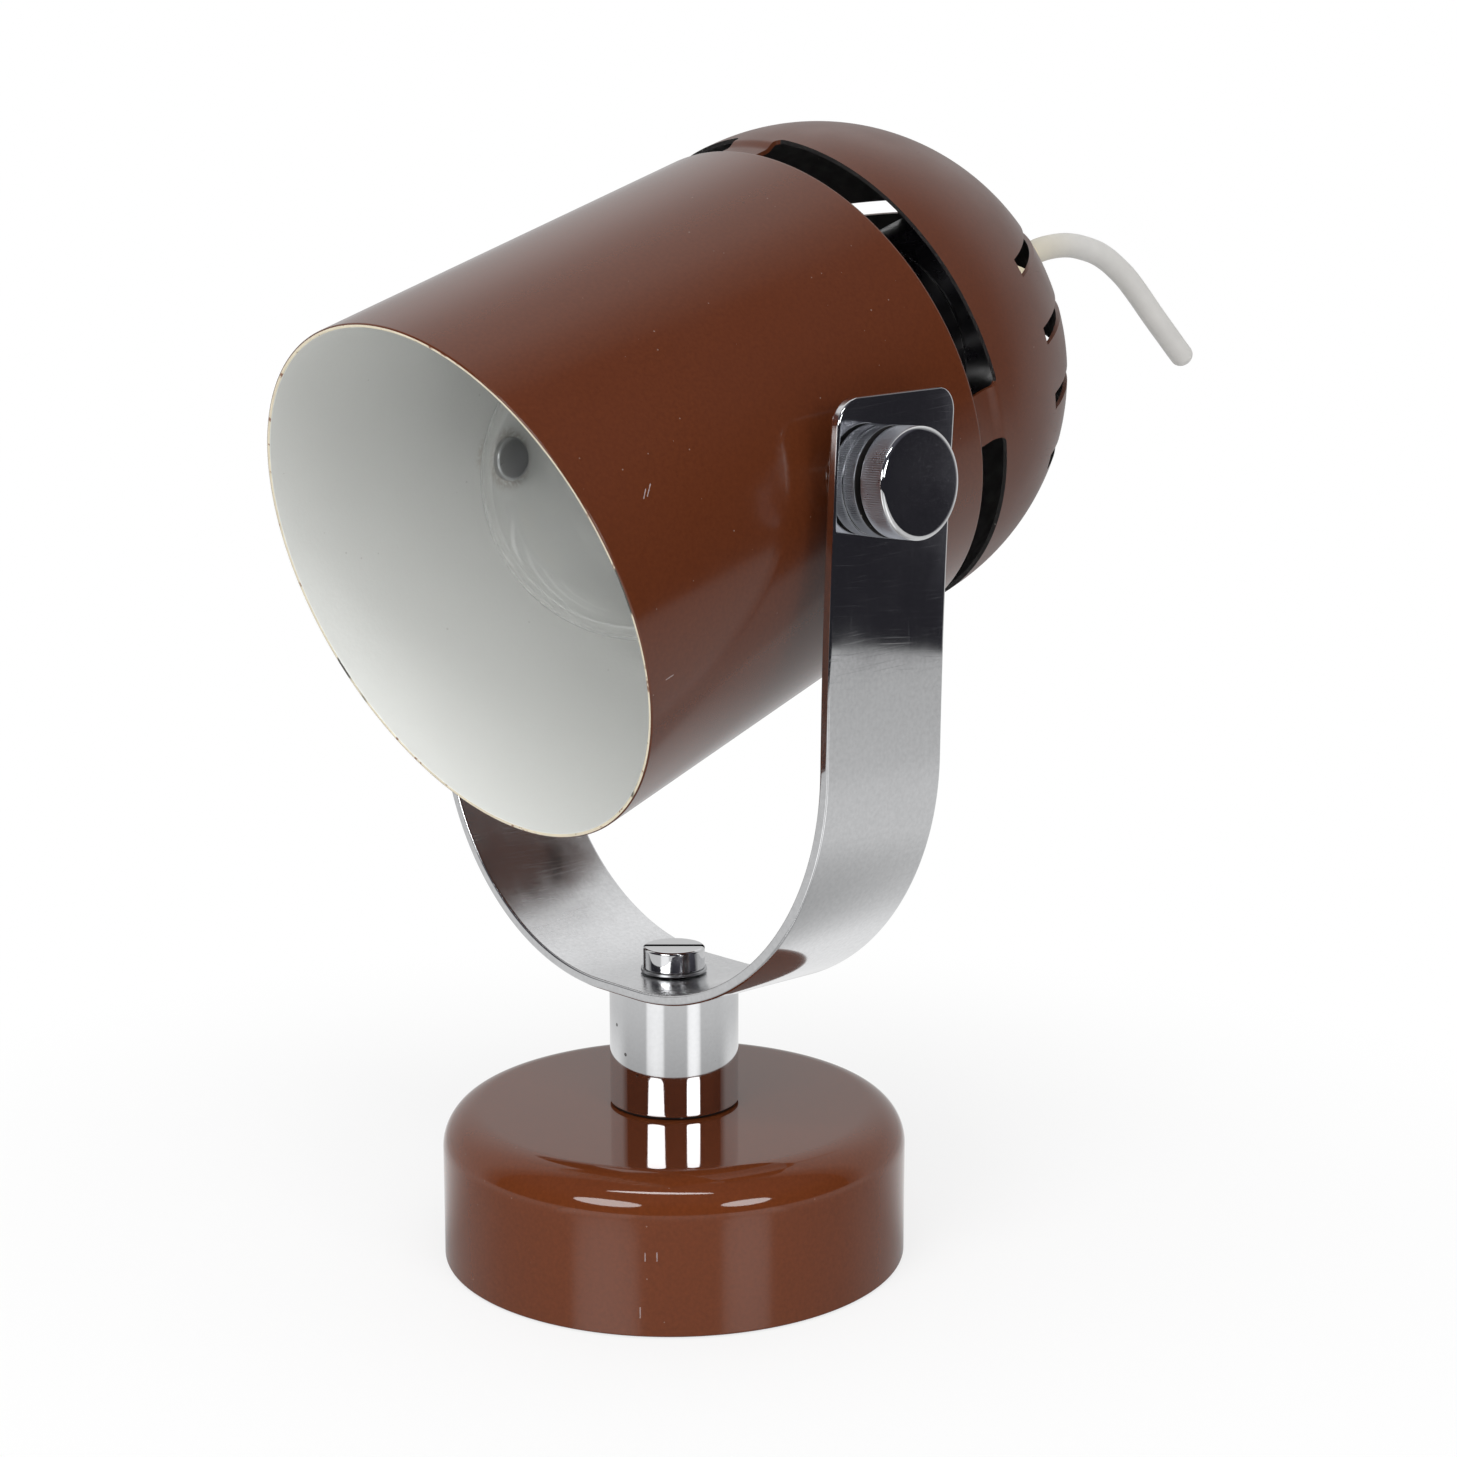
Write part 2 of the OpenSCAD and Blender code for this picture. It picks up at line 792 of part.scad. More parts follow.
module cord_tail() {
    count = len(cord_route);
    last = (count - 1) * cord_sides;
    sides = [
        for (i = [0 : count - 2])
            for (k = [0 : cord_sides - 1])
                let (
                    a = i * cord_sides + k,
                    b = i * cord_sides + (k + 1) % cord_sides
                )
                each [[a, b, b + cord_sides], [a, b + cord_sides, a + cord_sides]]
    ];
    near_end = [for (k = [1 : cord_sides - 2]) [0, k + 1, k]];
    far_end = [for (k = [1 : cord_sides - 2]) [last, last + k, last + k + 1]];
    color(pvc)
        in_head()
            polyhedron([for (i = [0 : count - 1]) each cord_ring(i)], concat(near_end, sides, far_end));
}

// Half section of the bulb, inset from its outside by a depth: neck, sweep and globe
module bulb_section(inset) {
    intersection() {
        translate([0, globe_z])
            circle(bulb_r - inset);
        translate([0, globe_z - bulb_d])
            square([bulb_d, 2 * bulb_d]);
    }
    difference() {
        translate([0, neck_z])
            square([touch_x, touch_z - neck_z]);
        translate([sweep_x, neck_z])
            circle(bulb_sweep_r + inset);
    }
    translate([0, bulb_cap_z + bulb_cap_l / 2])
        square([neck_r - inset, neck_z - bulb_cap_z - bulb_cap_l / 2]);
}

module bulb_glass() {
    color(clear_glass, 0.35)
        in_head()
            difference() {
                rotate_extrude()
                    bulb_section(0);
                rotate_extrude()
                    bulb_section(glass_t);
                bore(neck_r - glass_t, bulb_cap_z, neck_z);
            }
}

module bulb_cap() {
    color(brass)
        in_head()
            difference() {
                bore(bulb_cap_d / 2, bulb_cap_z, bulb_rim_z);
                bore(neck_r, bulb_cap_z + shell_t, bulb_rim_z + cut);
                bore(tip_d / 2, bulb_cap_z - cut, bulb_cap_z + cut);
            }
}

module bulb_insulator() {
    color(bakelite)
        in_head()
            translate([0, 0, insulator_z])
                cylinder(r1 = tip_d / 2, r2 = bulb_cap_d / 2 - shell_t, h = insulator_h);
}

module bulb_contact() {
    color(steel)
        in_head()
            bore(tip_d / 2, bulb_tip_z, insulator_z);
}

// Glass mount: a flare on the neck's inside, a rod and a button on top
module bulb_stem() {
    flare_z = bulb_cap_z + bulb_cap_l / 2;
    button_r = mount_d / 4;
    color(clear_glass, 0.5)
        in_head() {
            translate([0, 0, flare_z])
                cylinder(r1 = neck_r - glass_t, r2 = mount_d / 2, h = mount_d / 2);
            bore(mount_d / 2, flare_z + mount_d / 2 - running_gap, mount_top_z - mount_d);
            bore(mount_d / 5, mount_top_z - mount_d - running_gap, mount_top_z);
            translate([0, 0, mount_top_z])
                sphere(button_r);
        }
}

// Two lead-in wires that rise from the mount and splay to the filament's ends
module filament_supports() {
    base_z = mount_top_z - mount_d;
    base_x = mount_d / 2 - support_d;
    rise = filament_z - base_z;
    run = filament_r - base_x;
    color(steel)
        in_head()
            for (side = [0, 1])
                mirror([side, 0, 0])
                    translate([base_x, 0, base_z])
                        rotate([0, atan2(run, rise), 0])
                            cylinder(d = support_d, h = norm([run, rise]));
}

// Half ring of coiled wire between the two supports
module filament() {
    color(steel)
        in_head()
            translate([0, 0, filament_z])
                rotate_extrude(angle = 180)
                    translate([filament_r, 0])
                        circle(filament_d / 2);
}

base_canopy();
wall_bracket();
bracket_nut();
stem_collar();
swivel_screw();
tension_washer();
yoke_strap();
shade_tube();
rear_dome();
pivot_stud_right();
pivot_stud_left();
spacer_right();
spacer_left();
knob_right();
knob_left();
holder_cap();
holder_skirt();
holder_core();
thread_shell();
centre_contact();
terminal_screws();
entry_nipple();
tooth_washer();
cord_grip();
lead_wires();
cord_tail();
bulb_glass();
bulb_cap();
bulb_insulator();
bulb_contact();
bulb_stem();
filament_supports();
filament();
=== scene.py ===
# %% [markdown]
# # A wall spot in a chromed yoke
# This lesson dresses a finished construction: a lacquered tube with a vented dome hangs between the arms
# of a chromed U-shaped strap, and the strap turns on a short stem over a round canopy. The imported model
# is the frame. It fixes every size and every joint, so each new surface below is worked out from it.

# %% Load the frame
import json
import math

import bmesh
import bpy
import numpy as np
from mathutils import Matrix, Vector


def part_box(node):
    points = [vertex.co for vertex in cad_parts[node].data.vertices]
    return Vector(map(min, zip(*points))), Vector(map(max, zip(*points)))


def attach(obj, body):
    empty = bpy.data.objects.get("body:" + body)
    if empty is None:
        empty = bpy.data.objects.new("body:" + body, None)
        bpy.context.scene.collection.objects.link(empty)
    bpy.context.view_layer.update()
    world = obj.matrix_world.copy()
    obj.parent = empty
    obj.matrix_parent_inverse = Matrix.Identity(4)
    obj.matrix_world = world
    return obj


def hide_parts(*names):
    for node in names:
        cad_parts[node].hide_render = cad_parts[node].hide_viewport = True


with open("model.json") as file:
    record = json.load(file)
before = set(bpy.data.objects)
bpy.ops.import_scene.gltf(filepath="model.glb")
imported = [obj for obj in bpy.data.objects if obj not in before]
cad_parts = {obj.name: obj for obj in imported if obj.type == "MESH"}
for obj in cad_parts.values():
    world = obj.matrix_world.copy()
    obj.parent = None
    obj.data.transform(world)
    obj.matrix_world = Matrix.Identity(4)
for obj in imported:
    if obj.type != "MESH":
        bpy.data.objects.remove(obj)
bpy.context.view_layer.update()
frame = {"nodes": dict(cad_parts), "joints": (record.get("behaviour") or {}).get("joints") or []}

MM = 0.001
JOINTS = {joint["name"]: joint for joint in frame["joints"]}

# %% [markdown]
# A wall spot has three natural coordinate systems: the stand with its upright stem, the tilted head, and
# the tilt axis with a knob at each end. A small "place" holds an origin and three axes, taken from the
# joints, so a shape can be drawn upright at zero and then put where the joint says. The same places
# measure the solids.


# %% Places taken from the joints
def place(origin, x_axis, z_axis):
    """An origin and three unit axes as columns: x, then y = z cross x, then z."""
    x_unit = np.array(x_axis, float) / np.linalg.norm(x_axis)
    z_unit = np.array(z_axis, float) / np.linalg.norm(z_axis)
    return np.array(origin, float), np.column_stack([x_unit, np.cross(z_unit, x_unit), z_unit])


def node_points(node):
    """All corners of a CAD node at rest, one row of x, y, z each, in metres."""
    mesh = frame["nodes"][node].data
    flat = np.empty(len(mesh.vertices) * 3)
    mesh.vertices.foreach_get("co", flat)
    return flat.reshape(-1, 3)


def measure(node, where):
    """Lowest and highest reach along a place's z axis, then least and largest radius round it."""
    origin, axes = where
    local = (node_points(node) - origin) @ axes
    radius = np.hypot(local[:, 0], local[:, 1])
    return local[:, 2].min(), local[:, 2].max(), radius.min(), radius.max()


PIVOT = JOINTS["head_tilt"]["pos_m"]
STAND = place((0, 0, 0), (1, 0, 0), (0, 0, 1))
HEAD = place(PIVOT, (1, 0, 0), JOINTS["bulb_turn"]["axis"])
SIDES = {
    "right": place(PIVOT, (0, 0, 1), JOINTS["knob_right_turn"]["axis"]),
    "left": place(PIVOT, (0, 0, 1), JOINTS["knob_left_turn"]["axis"]),
}
TUBE_BACK, TUBE_FRONT, _, TUBE_R = measure("shade_tube", HEAD)
print(f"shade: radius {TUBE_R / MM:.1f} mm and length {(TUBE_FRONT - TUBE_BACK) / MM:.1f} mm")

# %% [markdown]
# The camera stands where the picture was taken from: a little above the knob, on the right of the mouth.
# A lens is easier to compare with a picture when it is given as a focal length in pixels, so it is turned
# into millimetres of a 36 mm sensor here. There is no depth of field and no shift.

# %% Camera
CAMERA_AZIMUTH = 46.898
CAMERA_ELEVATION = 9.576
CAMERA_DISTANCE = 439.82 * MM
CAMERA_TARGET = Vector((7.216, 7.710, 102.569)) * MM
CLIP_START = 0.01
FOCAL_PIXELS = 2313.4
IMAGE_SIDE = 1457
SENSOR = 36.0


def direction(azimuth, elevation):
    """Unit vector towards a compass angle and a height angle: azimuth 0 is -Y and 90 is +X."""
    turn, rise = math.radians(azimuth), math.radians(elevation)
    return Vector((math.sin(turn) * math.cos(rise), -math.cos(turn) * math.cos(rise), math.sin(rise)))


camera = bpy.data.objects.new("camera", bpy.data.cameras.new("camera"))
bpy.context.scene.collection.objects.link(camera)
camera.data.sensor_width = SENSOR
camera.data.lens = FOCAL_PIXELS * SENSOR / IMAGE_SIDE
camera.data.clip_start = CLIP_START
toward_camera = direction(CAMERA_AZIMUTH, CAMERA_ELEVATION)
camera.location = CAMERA_TARGET + toward_camera * CAMERA_DISTANCE
camera.rotation_mode = "QUATERNION"
camera.rotation_quaternion = (-toward_camera).to_track_quat("-Z", "Y")
bpy.context.scene.camera = camera
bpy.context.scene.view_settings.view_transform = "Standard"
print(f"camera: {camera.data.lens:.1f} mm lens, {CAMERA_DISTANCE / MM:.0f} mm from its target")

# %% [markdown]
# Nearly every piece of this lamp is turned or drawn, so it starts as a section: an outline of radius and
# height. Corners of real sheet and bar are never perfectly sharp, and the small radius is what catches
# the light. A Bevel modifier could ease them later, but tangent arcs in the outline itself keep every
# radius exact.

# %% Outlines
ARC_ERROR = 0.004 * MM
HOLD = 0.35
FREE_SHARE = 0.25


def rounded(corners, radii, hold=HOLD):
    """A closed outline whose corner p becomes an arc of radius r that touches both sides.

    The arc starts r / tan(half angle) before the corner, and its middle lies r / sin(half angle) along
    the bisector. Each arc gets as many points as keep its chords within ARC_ERROR. One more point before
    and after each arc, hold times r away or at FREE_SHARE of the straight that is left, keeps the flat
    sides flat when the skin is shaded smoothly.
    """
    p = np.array(corners, float)
    back = np.roll(p, 1, 0) - p
    ahead = np.roll(p, -1, 0) - p
    length = np.linalg.norm(ahead, axis=1)
    back /= np.linalg.norm(back, axis=1)[:, None]
    ahead /= length[:, None]
    half = np.arccos(np.clip((back * ahead).sum(1), -1, 1)) / 2
    size = np.broadcast_to(radii, len(p))
    touch = size / np.tan(half)
    free = FREE_SHARE * (length - touch - np.roll(touch, -1))
    before = touch + np.minimum(hold * size, np.roll(free, 1))
    after = touch + np.minimum(hold * size, free)
    parts = []
    for corner, u, v, h, r, lead_in, lead_out in zip(p, back, ahead, half, size, before, after):
        if r <= 0:
            parts.append(corner[None])
            continue
        sweep = math.pi - 2 * h
        steps = max(3, math.ceil(sweep / (2 * math.acos(1 - min(ARC_ERROR / r, 0.5)))))
        t = np.linspace(0, 1, steps + 1)[:, None]
        middle = corner + (u + v) / np.linalg.norm(u + v) * r / math.sin(h)
        start = corner + u * r / math.tan(h) - middle
        end = corner + v * r / math.tan(h) - middle
        bend = middle + (start * np.sin((1 - t) * sweep) + end * np.sin(t * sweep)) / math.sin(sweep)
        if hold:
            bend = np.concatenate([[corner + u * lead_in], bend, [corner + v * lead_out]])
        parts.append(bend)
    return np.concatenate(parts)


print(f"outlines: arcs stay within {ARC_ERROR / MM:.3f} mm of their circle")

# %% [markdown]
# Some outlines are better drawn in order, as a turner follows a template: an arc, a straight wall, a
# level shelf. Each gives rows of radius and height, and the rows are joined end to end. Equal steps along
# a wall give a knurl or a groove enough points to be cut into it.


# %% Arcs, walls and shelves
def arc(centre, radius, start, end, steps):
    """Points of a circle from one angle to another, in degrees, as rows of radius and height."""
    a = np.radians(np.linspace(start, end, steps + 1))
    return np.column_stack([centre[0] + radius * np.cos(a), centre[1] + radius * np.sin(a)])


def wall(radius, start, end, steps):
    """A straight wall: rows of one radius, with heights in equal steps."""
    return np.column_stack([np.full(steps + 1, radius), np.linspace(start, end, steps + 1)])


def shelf(start, end, height, steps):
    """A level shelf: rows of one height, with radii or distances in equal steps."""
    return np.column_stack([np.linspace(start, end, steps + 1), np.full(steps + 1, height)])


print("template:", len(arc((0, 0), 1, 0, 90, 8)), "points for a quarter circle in 8 steps")

# %% [markdown]
# A section becomes a piece when it is spun about an axis or carried along a path. Either way the result
# is a grid of points, so one helper makes a closed skin from any grid, and gives it a UV map in metres
# for finishes that follow the surface. Spinning with a modifier would leave the seam and the poles to
# chance.

# %% Skins from grids
SHARP_ANGLE = math.radians(32)
MERGE_DISTANCE = 1e-7


def run_length(points, closed):
    """Distance along a row of points, with one more entry for the way back where the row is closed."""
    row = np.concatenate([points, points[:1]]) if closed else points
    return np.concatenate([[0], np.cumsum(np.linalg.norm(np.diff(row, axis=0), axis=1))])


def finish_mesh(name, mesh):
    """Merges doubled points, turns faces outwards, shades smoothly up to SHARP_ANGLE, links the object."""
    work = bmesh.new()
    work.from_mesh(mesh)
    bmesh.ops.remove_doubles(work, verts=work.verts, dist=MERGE_DISTANCE)
    bmesh.ops.recalc_face_normals(work, faces=work.faces)
    work.to_mesh(mesh)
    work.free()
    mesh.polygons.foreach_set("use_smooth", np.ones(len(mesh.polygons), bool))
    mesh.set_sharp_from_angle(angle=SHARP_ANGLE)
    piece = bpy.data.objects.new(name, mesh)
    bpy.context.scene.collection.objects.link(piece)
    return piece


def skin(name, grid, where, closed_rows, closed_columns, caps=False):
    """A mesh over a grid of points in a place: each cell is one face, and u and v are distances in metres.

    Rows or columns that are closed join their last line to their first. Points that fall together, as on a
    pole, are merged. Caps close the first and the last row with one flat face each.
    """
    rows, columns = grid.shape[:2]
    origin, axes = where
    points = grid.reshape(-1, 3) @ axes.T + origin
    i, j = np.meshgrid(
        np.arange(rows if closed_rows else rows - 1),
        np.arange(columns if closed_columns else columns - 1),
        indexing="ij",
    )
    i_next, j_next = (i + 1) % rows, (j + 1) % columns
    corners = [i * columns + j, i * columns + j_next, i_next * columns + j_next, i_next * columns + j]
    faces = np.stack(corners, -1).reshape(-1, 4).tolist()
    widest = np.argmax(np.ptp(grid, axis=1).sum(1))
    u = run_length(grid[widest], closed_columns)
    v = run_length(grid[:, 0], closed_rows)
    around = ((0, 0), (0, 1), (1, 1), (1, 0))
    uv = np.stack([np.stack([u[j + dj], v[i + di]], -1) for di, dj in around], -2).reshape(-1, 2)
    if caps:
        rim = np.arange(columns)
        faces += [rim[::-1].tolist(), (rim + (rows - 1) * columns).tolist()]
        first_uv = np.column_stack([u[:columns], np.zeros(columns)])[::-1]
        uv = np.concatenate([uv, first_uv, np.zeros((columns, 2))])
    mesh = bpy.data.meshes.new(name)
    mesh.from_pydata(points.tolist(), [], faces)
    mesh.uv_layers.new(name="surface").data.foreach_set("uv", uv.astype(np.float32).ravel())
    return finish_mesh(name, mesh)


def turned(name, profile, where, closed=True, steps=256, ripple=None):
    """A profile of radius r and height h spun about a place's z axis: x = r cos a, y = r sin a, z = h.

    A ripple is a function of angle, height and radius that is taken off the radius, for knurls and grooves.
    """
    a = np.linspace(0, 2 * math.pi, steps, endpoint=False)[None, :]
    r = np.array(profile)[:, :1] + 0 * a
    h = np.array(profile)[:, 1:] + 0 * a
    if ripple is not None:
        r = r - ripple(a, h, r)
    grid = np.stack([r * np.cos(a), r * np.sin(a), h], -1)
    return skin(name, grid, where, closed, True)


print(f"skins: smooth up to {math.degrees(SHARP_ANGLE):.0f} degrees between faces")

# %% [markdown]
# Slots and windows are sawn or punched into a finished shell, so they are carved here too, with blocks
# that are taken out of a skin. Then a piece is handed over: to the body that it moves with, to the solid
# that it stands for, and to its paint, which may differ between faces of one sheet.


# %% Carving and dressing
def slab(name, centre, half, where, turn_deg=0.0):
    """A plain cutting block about a centre, with half sizes, turned about its place's z axis."""
    signs = np.array([[x, y, z] for z in (-1, 1) for x, y in ((-1, -1), (1, -1), (1, 1), (-1, 1))], float)
    c, s = math.cos(math.radians(turn_deg)), math.sin(math.radians(turn_deg))
    spin = np.array([[c, -s, 0], [s, c, 0], [0, 0, 1]])
    grid = ((signs * half) @ spin.T + centre).reshape(2, 4, 3)
    return skin(name, grid, where, False, True, caps=True)


def carve(piece, cutters):
    """Takes the cutters' solids out of a piece and keeps the result as its plain mesh."""
    for cutter in cutters:
        cut = piece.modifiers.new(cutter.name, "BOOLEAN")
        cut.object = cutter
        cut.operation = "DIFFERENCE"
        cut.solver = "EXACT"
        cut.use_hole_tolerant = True
    bpy.context.view_layer.update()
    solid = piece.evaluated_get(bpy.context.evaluated_depsgraph_get())
    mesh = bpy.data.meshes.new_from_object(solid)
    piece.modifiers.clear()
    piece.data = mesh
    mesh.set_sharp_from_angle(angle=SHARP_ANGLE)
    for cutter in cutters:
        bpy.data.objects.remove(cutter)
    return piece


def dress(piece, body, finish, nodes, choose=None, where=STAND):
    """Hands a piece to its body, material slot and CAD nodes, and paints its faces.

    Finish is a list of materials. Choose takes the face centres' radius and height in a place, and the
    faces' outward lean (radial, along), and gives each face the number of its material.
    """
    for material in finish:
        piece.data.materials.append(material)
    if choose is not None:
        count = len(piece.data.polygons)
        centre, normal = np.empty(count * 3), np.empty(count * 3)
        piece.data.polygons.foreach_get("center", centre)
        piece.data.polygons.foreach_get("normal", normal)
        local = (centre.reshape(-1, 3) - where[0]) @ where[1]
        lean = normal.reshape(-1, 3) @ where[1]
        radius = np.hypot(local[:, 0], local[:, 1])
        outward = (lean[:, :2] * local[:, :2]).sum(1) / np.maximum(radius, 1e-9)
        numbers = choose(radius, local[:, 2], outward, lean[:, 2])
        piece.data.polygons.foreach_set("material_index", numbers.astype(np.int32))
    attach(piece, body)
    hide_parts(*nodes)
    print(f"{piece.name}: {len(piece.data.polygons)} faces for {', '.join(nodes)}")
    return piece


print("workshop: cutting blocks, carving and dressing are ready")

# %% [markdown]
# A finish is a small network of shader nodes. Written out one by one, nodes take many lines, so each
# helper below adds one node, sets or links its inputs, and hands back the socket that the next step
# needs.


# %% Node helpers
def feed(tree, socket, value):
    """Links another node's socket to an input, or sets the input to a plain value."""
    if isinstance(value, bpy.types.NodeSocket):
        tree.links.new(value, socket)
    else:
        socket.default_value = value


def add(tree, kind, values=None, **settings):
    """One shader node with its settings, whose inputs are set to numbers or linked to sockets."""
    node = tree.nodes.new(kind)
    for key, value in settings.items():
        setattr(node, key, value)
    for key, value in (values or {}).items():
        feed(tree, node.inputs[key], value)
    return node


def math_node(tree, operation, a, b=0.0, c=0.0, clamp=False):
    """The value of one arithmetic step of two numbers, or of three for MULTIPLY_ADD: a times b plus c."""
    return add(tree, "ShaderNodeMath", {0: a, 1: b, 2: c}, operation=operation, use_clamp=clamp).outputs[0]


def vector_math(tree, operation, first, second=(0, 0, 0), scale=1.0):
    """One step with vectors: a value for a dot product or a length, and a vector for the others."""
    node = add(tree, "ShaderNodeVectorMath", {0: first, 1: second, 3: scale}, operation=operation)
    return node.outputs["Value" if operation in ("DOT_PRODUCT", "LENGTH") else "Vector"]


def ramp(tree, value, low, high, out_low=0.0, out_high=1.0):
    """A value taken smoothly from one range to another."""
    values = {"Value": value, "From Min": low, "From Max": high, "To Min": out_low, "To Max": out_high}
    return add(tree, "ShaderNodeMapRange", values, interpolation_type="SMOOTHSTEP").outputs["Result"]


def mixed(tree, factor, first, second):
    """Two colours mixed by a factor."""
    return add(tree, "ShaderNodeMix", {0: factor, 6: first, 7: second}, data_type="RGBA").outputs[2]


def cloud(tree, spot, scale, detail):
    """A cloud of noise between 0 and 1, with scale counted in clouds for each metre."""
    values = {"Vector": spot, "Scale": scale, "Detail": detail}
    return add(tree, "ShaderNodeTexNoise", values).outputs["Fac"]


print("nodes: one helper each for sums, vectors, ramps, mixes and clouds")

# %% [markdown]
# Paint, plate and plastic share a few effects. Each is a small node group with its own inputs, built once
# and placed in every material that needs it. The groups only put out colours and masks, so the shaders
# stay in the materials. The first is a slow drift, because no sprayed, plated or moulded surface has one
# colour all over.

# %% Drift of colour
FLOAT, VECTOR, COLOUR = "NodeSocketFloat", "NodeSocketVector", "NodeSocketColor"


def group(name, inputs, output, kind):
    """An empty node group with value or vector inputs and one output."""
    tree = bpy.data.node_groups.new(name, "ShaderNodeTree")
    for title, (socket, default) in inputs.items():
        made = tree.interface.new_socket(title, in_out="INPUT", socket_type=socket)
        if default is not None:
            made.default_value = default
    tree.interface.new_socket(output, in_out="OUTPUT", socket_type=kind)
    return tree, tree.nodes.new("NodeGroupInput").outputs, tree.nodes.new("NodeGroupOutput").inputs


def make_drift():
    """Colour that drifts: the colour times 1 plus amount times a cloud between -1 and 1."""
    tree, given, out = group("colour_drift", {
        "Vector": (VECTOR, None), "Color": (COLOUR, (0.5, 0.5, 0.5, 1)),
        "Scale": (FLOAT, 30.0), "Amount": (FLOAT, 0.1),
    }, "Color", COLOUR)
    swing = math_node(tree, "MULTIPLY_ADD", cloud(tree, given["Vector"], given["Scale"], 5.0), 2.0, -1.0)
    gain = math_node(tree, "MULTIPLY_ADD", swing, given["Amount"], 1.0)
    tree.links.new(vector_math(tree, "SCALE", given["Color"], scale=gain), out["Color"])
    return tree


def effect(tree, shared, **values):
    """The output of a shared group placed in a material, with its inputs by name in small letters."""
    node = add(tree, "ShaderNodeGroup", node_tree=shared)
    for title, value in values.items():
        feed(tree, node.inputs[title.capitalize()], value)
    return node.outputs[0]


DRIFT = make_drift()
print("group:", DRIFT.name)

# %% [markdown]
# Handling leaves hairlines, and dust or pits leave specks. An image of scratches would have to be painted
# and carried along. Clouds that are stretched in one direction have crests like hairlines instead, and
# the cells of a Voronoi pattern give each speck its own size and a chance to be left out.

# %% Hairlines and specks
HAIRLINE_STRETCH = 60


def make_hairlines():
    """Hairlines: the crests of clouds that are stretched sixty-fold along two crossing directions."""
    tree, given, out = group("hairlines", {
        "Vector": (VECTOR, None), "Scale": (FLOAT, 900.0), "Share": (FLOAT, 0.3), "Turn": (FLOAT, 0.2),
    }, "Mask", FLOAT)
    masks = []
    for sense, seed in ((1, 0.0), (-1, 7.3)):
        spin = add(tree, "ShaderNodeCombineXYZ", {"Z": math_node(tree, "MULTIPLY", given["Turn"], sense)})
        laid = add(tree, "ShaderNodeMapping", {
            "Vector": given["Vector"], "Rotation": spin.outputs[0], "Location": (seed, seed, 0),
        })
        thin = vector_math(tree, "MULTIPLY", laid.outputs[0], (1, 1 / HAIRLINE_STRETCH, 1))
        crest = math_node(tree, "SUBTRACT", 0.75, given["Share"])
        masks.append(ramp(tree, cloud(tree, thin, given["Scale"], 2.0), crest, 0.78))
    tree.links.new(math_node(tree, "MAXIMUM", *masks), out["Mask"])
    return tree


def make_specks():
    """Specks: cells whose middle lies within a size, kept for a share of all cells."""
    tree, given, out = group("specks", {
        "Vector": (VECTOR, None), "Scale": (FLOAT, 400.0), "Size": (FLOAT, 0.15), "Share": (FLOAT, 0.1),
    }, "Mask", FLOAT)
    cells = add(tree, "ShaderNodeTexVoronoi", {
        "Vector": given["Vector"], "Scale": given["Scale"], "Randomness": 1.0,
    })
    pick = add(tree, "ShaderNodeSeparateColor", {"Color": cells.outputs["Color"]})
    chosen = math_node(tree, "LESS_THAN", pick.outputs[0], given["Share"])
    size = math_node(tree, "MULTIPLY", given["Size"], pick.outputs[1])
    near = math_node(tree, "LESS_THAN", cells.outputs["Distance"], size)
    tree.links.new(math_node(tree, "MULTIPLY", chosen, near), out["Mask"])
    return tree


HAIRLINES, SPECKS = make_hairlines(), make_specks()
print("groups:", HAIRLINES.name, "and", SPECKS.name)

# %% [markdown]
# A few deeper nicks sit at places that can be pointed out, which a pattern that repeats can't give. A
# nick is the set of points close to a short line between two places on the lacquer, with a ragged width.

# %% Nicks
NICK_GRAIN = 4000.0


def make_nick():
    """A nick: one where a point lies within a ragged width of the line from start to end."""
    tree, given, out = group("nick", {
        "Vector": (VECTOR, None), "Start": (VECTOR, None), "End": (VECTOR, None), "Width": (FLOAT, 0.0001),
    }, "Mask", FLOAT)
    line = vector_math(tree, "SUBTRACT", given["End"], given["Start"])
    offset = vector_math(tree, "SUBTRACT", given["Vector"], given["Start"])
    along = vector_math(tree, "DOT_PRODUCT", offset, line)
    share = math_node(tree, "DIVIDE", along, vector_math(tree, "DOT_PRODUCT", line, line), clamp=True)
    foot = vector_math(tree, "SCALE", line, scale=share)
    gap = vector_math(tree, "LENGTH", vector_math(tree, "SUBTRACT", offset, foot))
    ragged = math_node(tree, "MULTIPLY", cloud(tree, given["Vector"], NICK_GRAIN, 2.0), 2.0)
    limit = math_node(tree, "MULTIPLY", given["Width"], ragged)
    tree.links.new(math_node(tree, "LESS_THAN", gap, limit), out["Mask"])
    return tree


NICK = make_nick()
print("group:", NICK.name)

# %% [markdown]
# Every material starts the same way: a Principled shader and coordinates. Object coordinates suit paint
# and cast pieces. A finish that follows the metal, such as wiping marks along a strap, reads the piece's
# own UV map.


# %% Start of a material
def object_spot(tree):
    """Object coordinates, in metres in the shared frame."""
    return add(tree, "ShaderNodeTexCoord").outputs["Object"]


def material_base(name, on_surface=False):
    """A new material with its tree, its Principled shader, and Object coordinates or the piece's UV map."""
    material = bpy.data.materials.new(name)
    material.use_nodes = True
    tree = material.node_tree
    if on_surface:
        spot = add(tree, "ShaderNodeUVMap", uv_map="surface").outputs["UV"]
    else:
        spot = object_spot(tree)
    return material, tree, tree.nodes["Principled BSDF"], spot


def plug(tree, shader, **values):
    """Links sockets to the shader's inputs, or sets them, by names with underscores for blanks."""
    for title, value in values.items():
        feed(tree, shader.inputs[title.replace("_", " ")], value)


def bumped(tree, height, depth):
    """A normal from a height map of the given depth in metres."""
    values = {"Height": height, "Distance": depth, "Strength": 1.0}
    return add(tree, "ShaderNodeBump", values).outputs["Normal"]


print("materials: base, plugs and bump are ready")

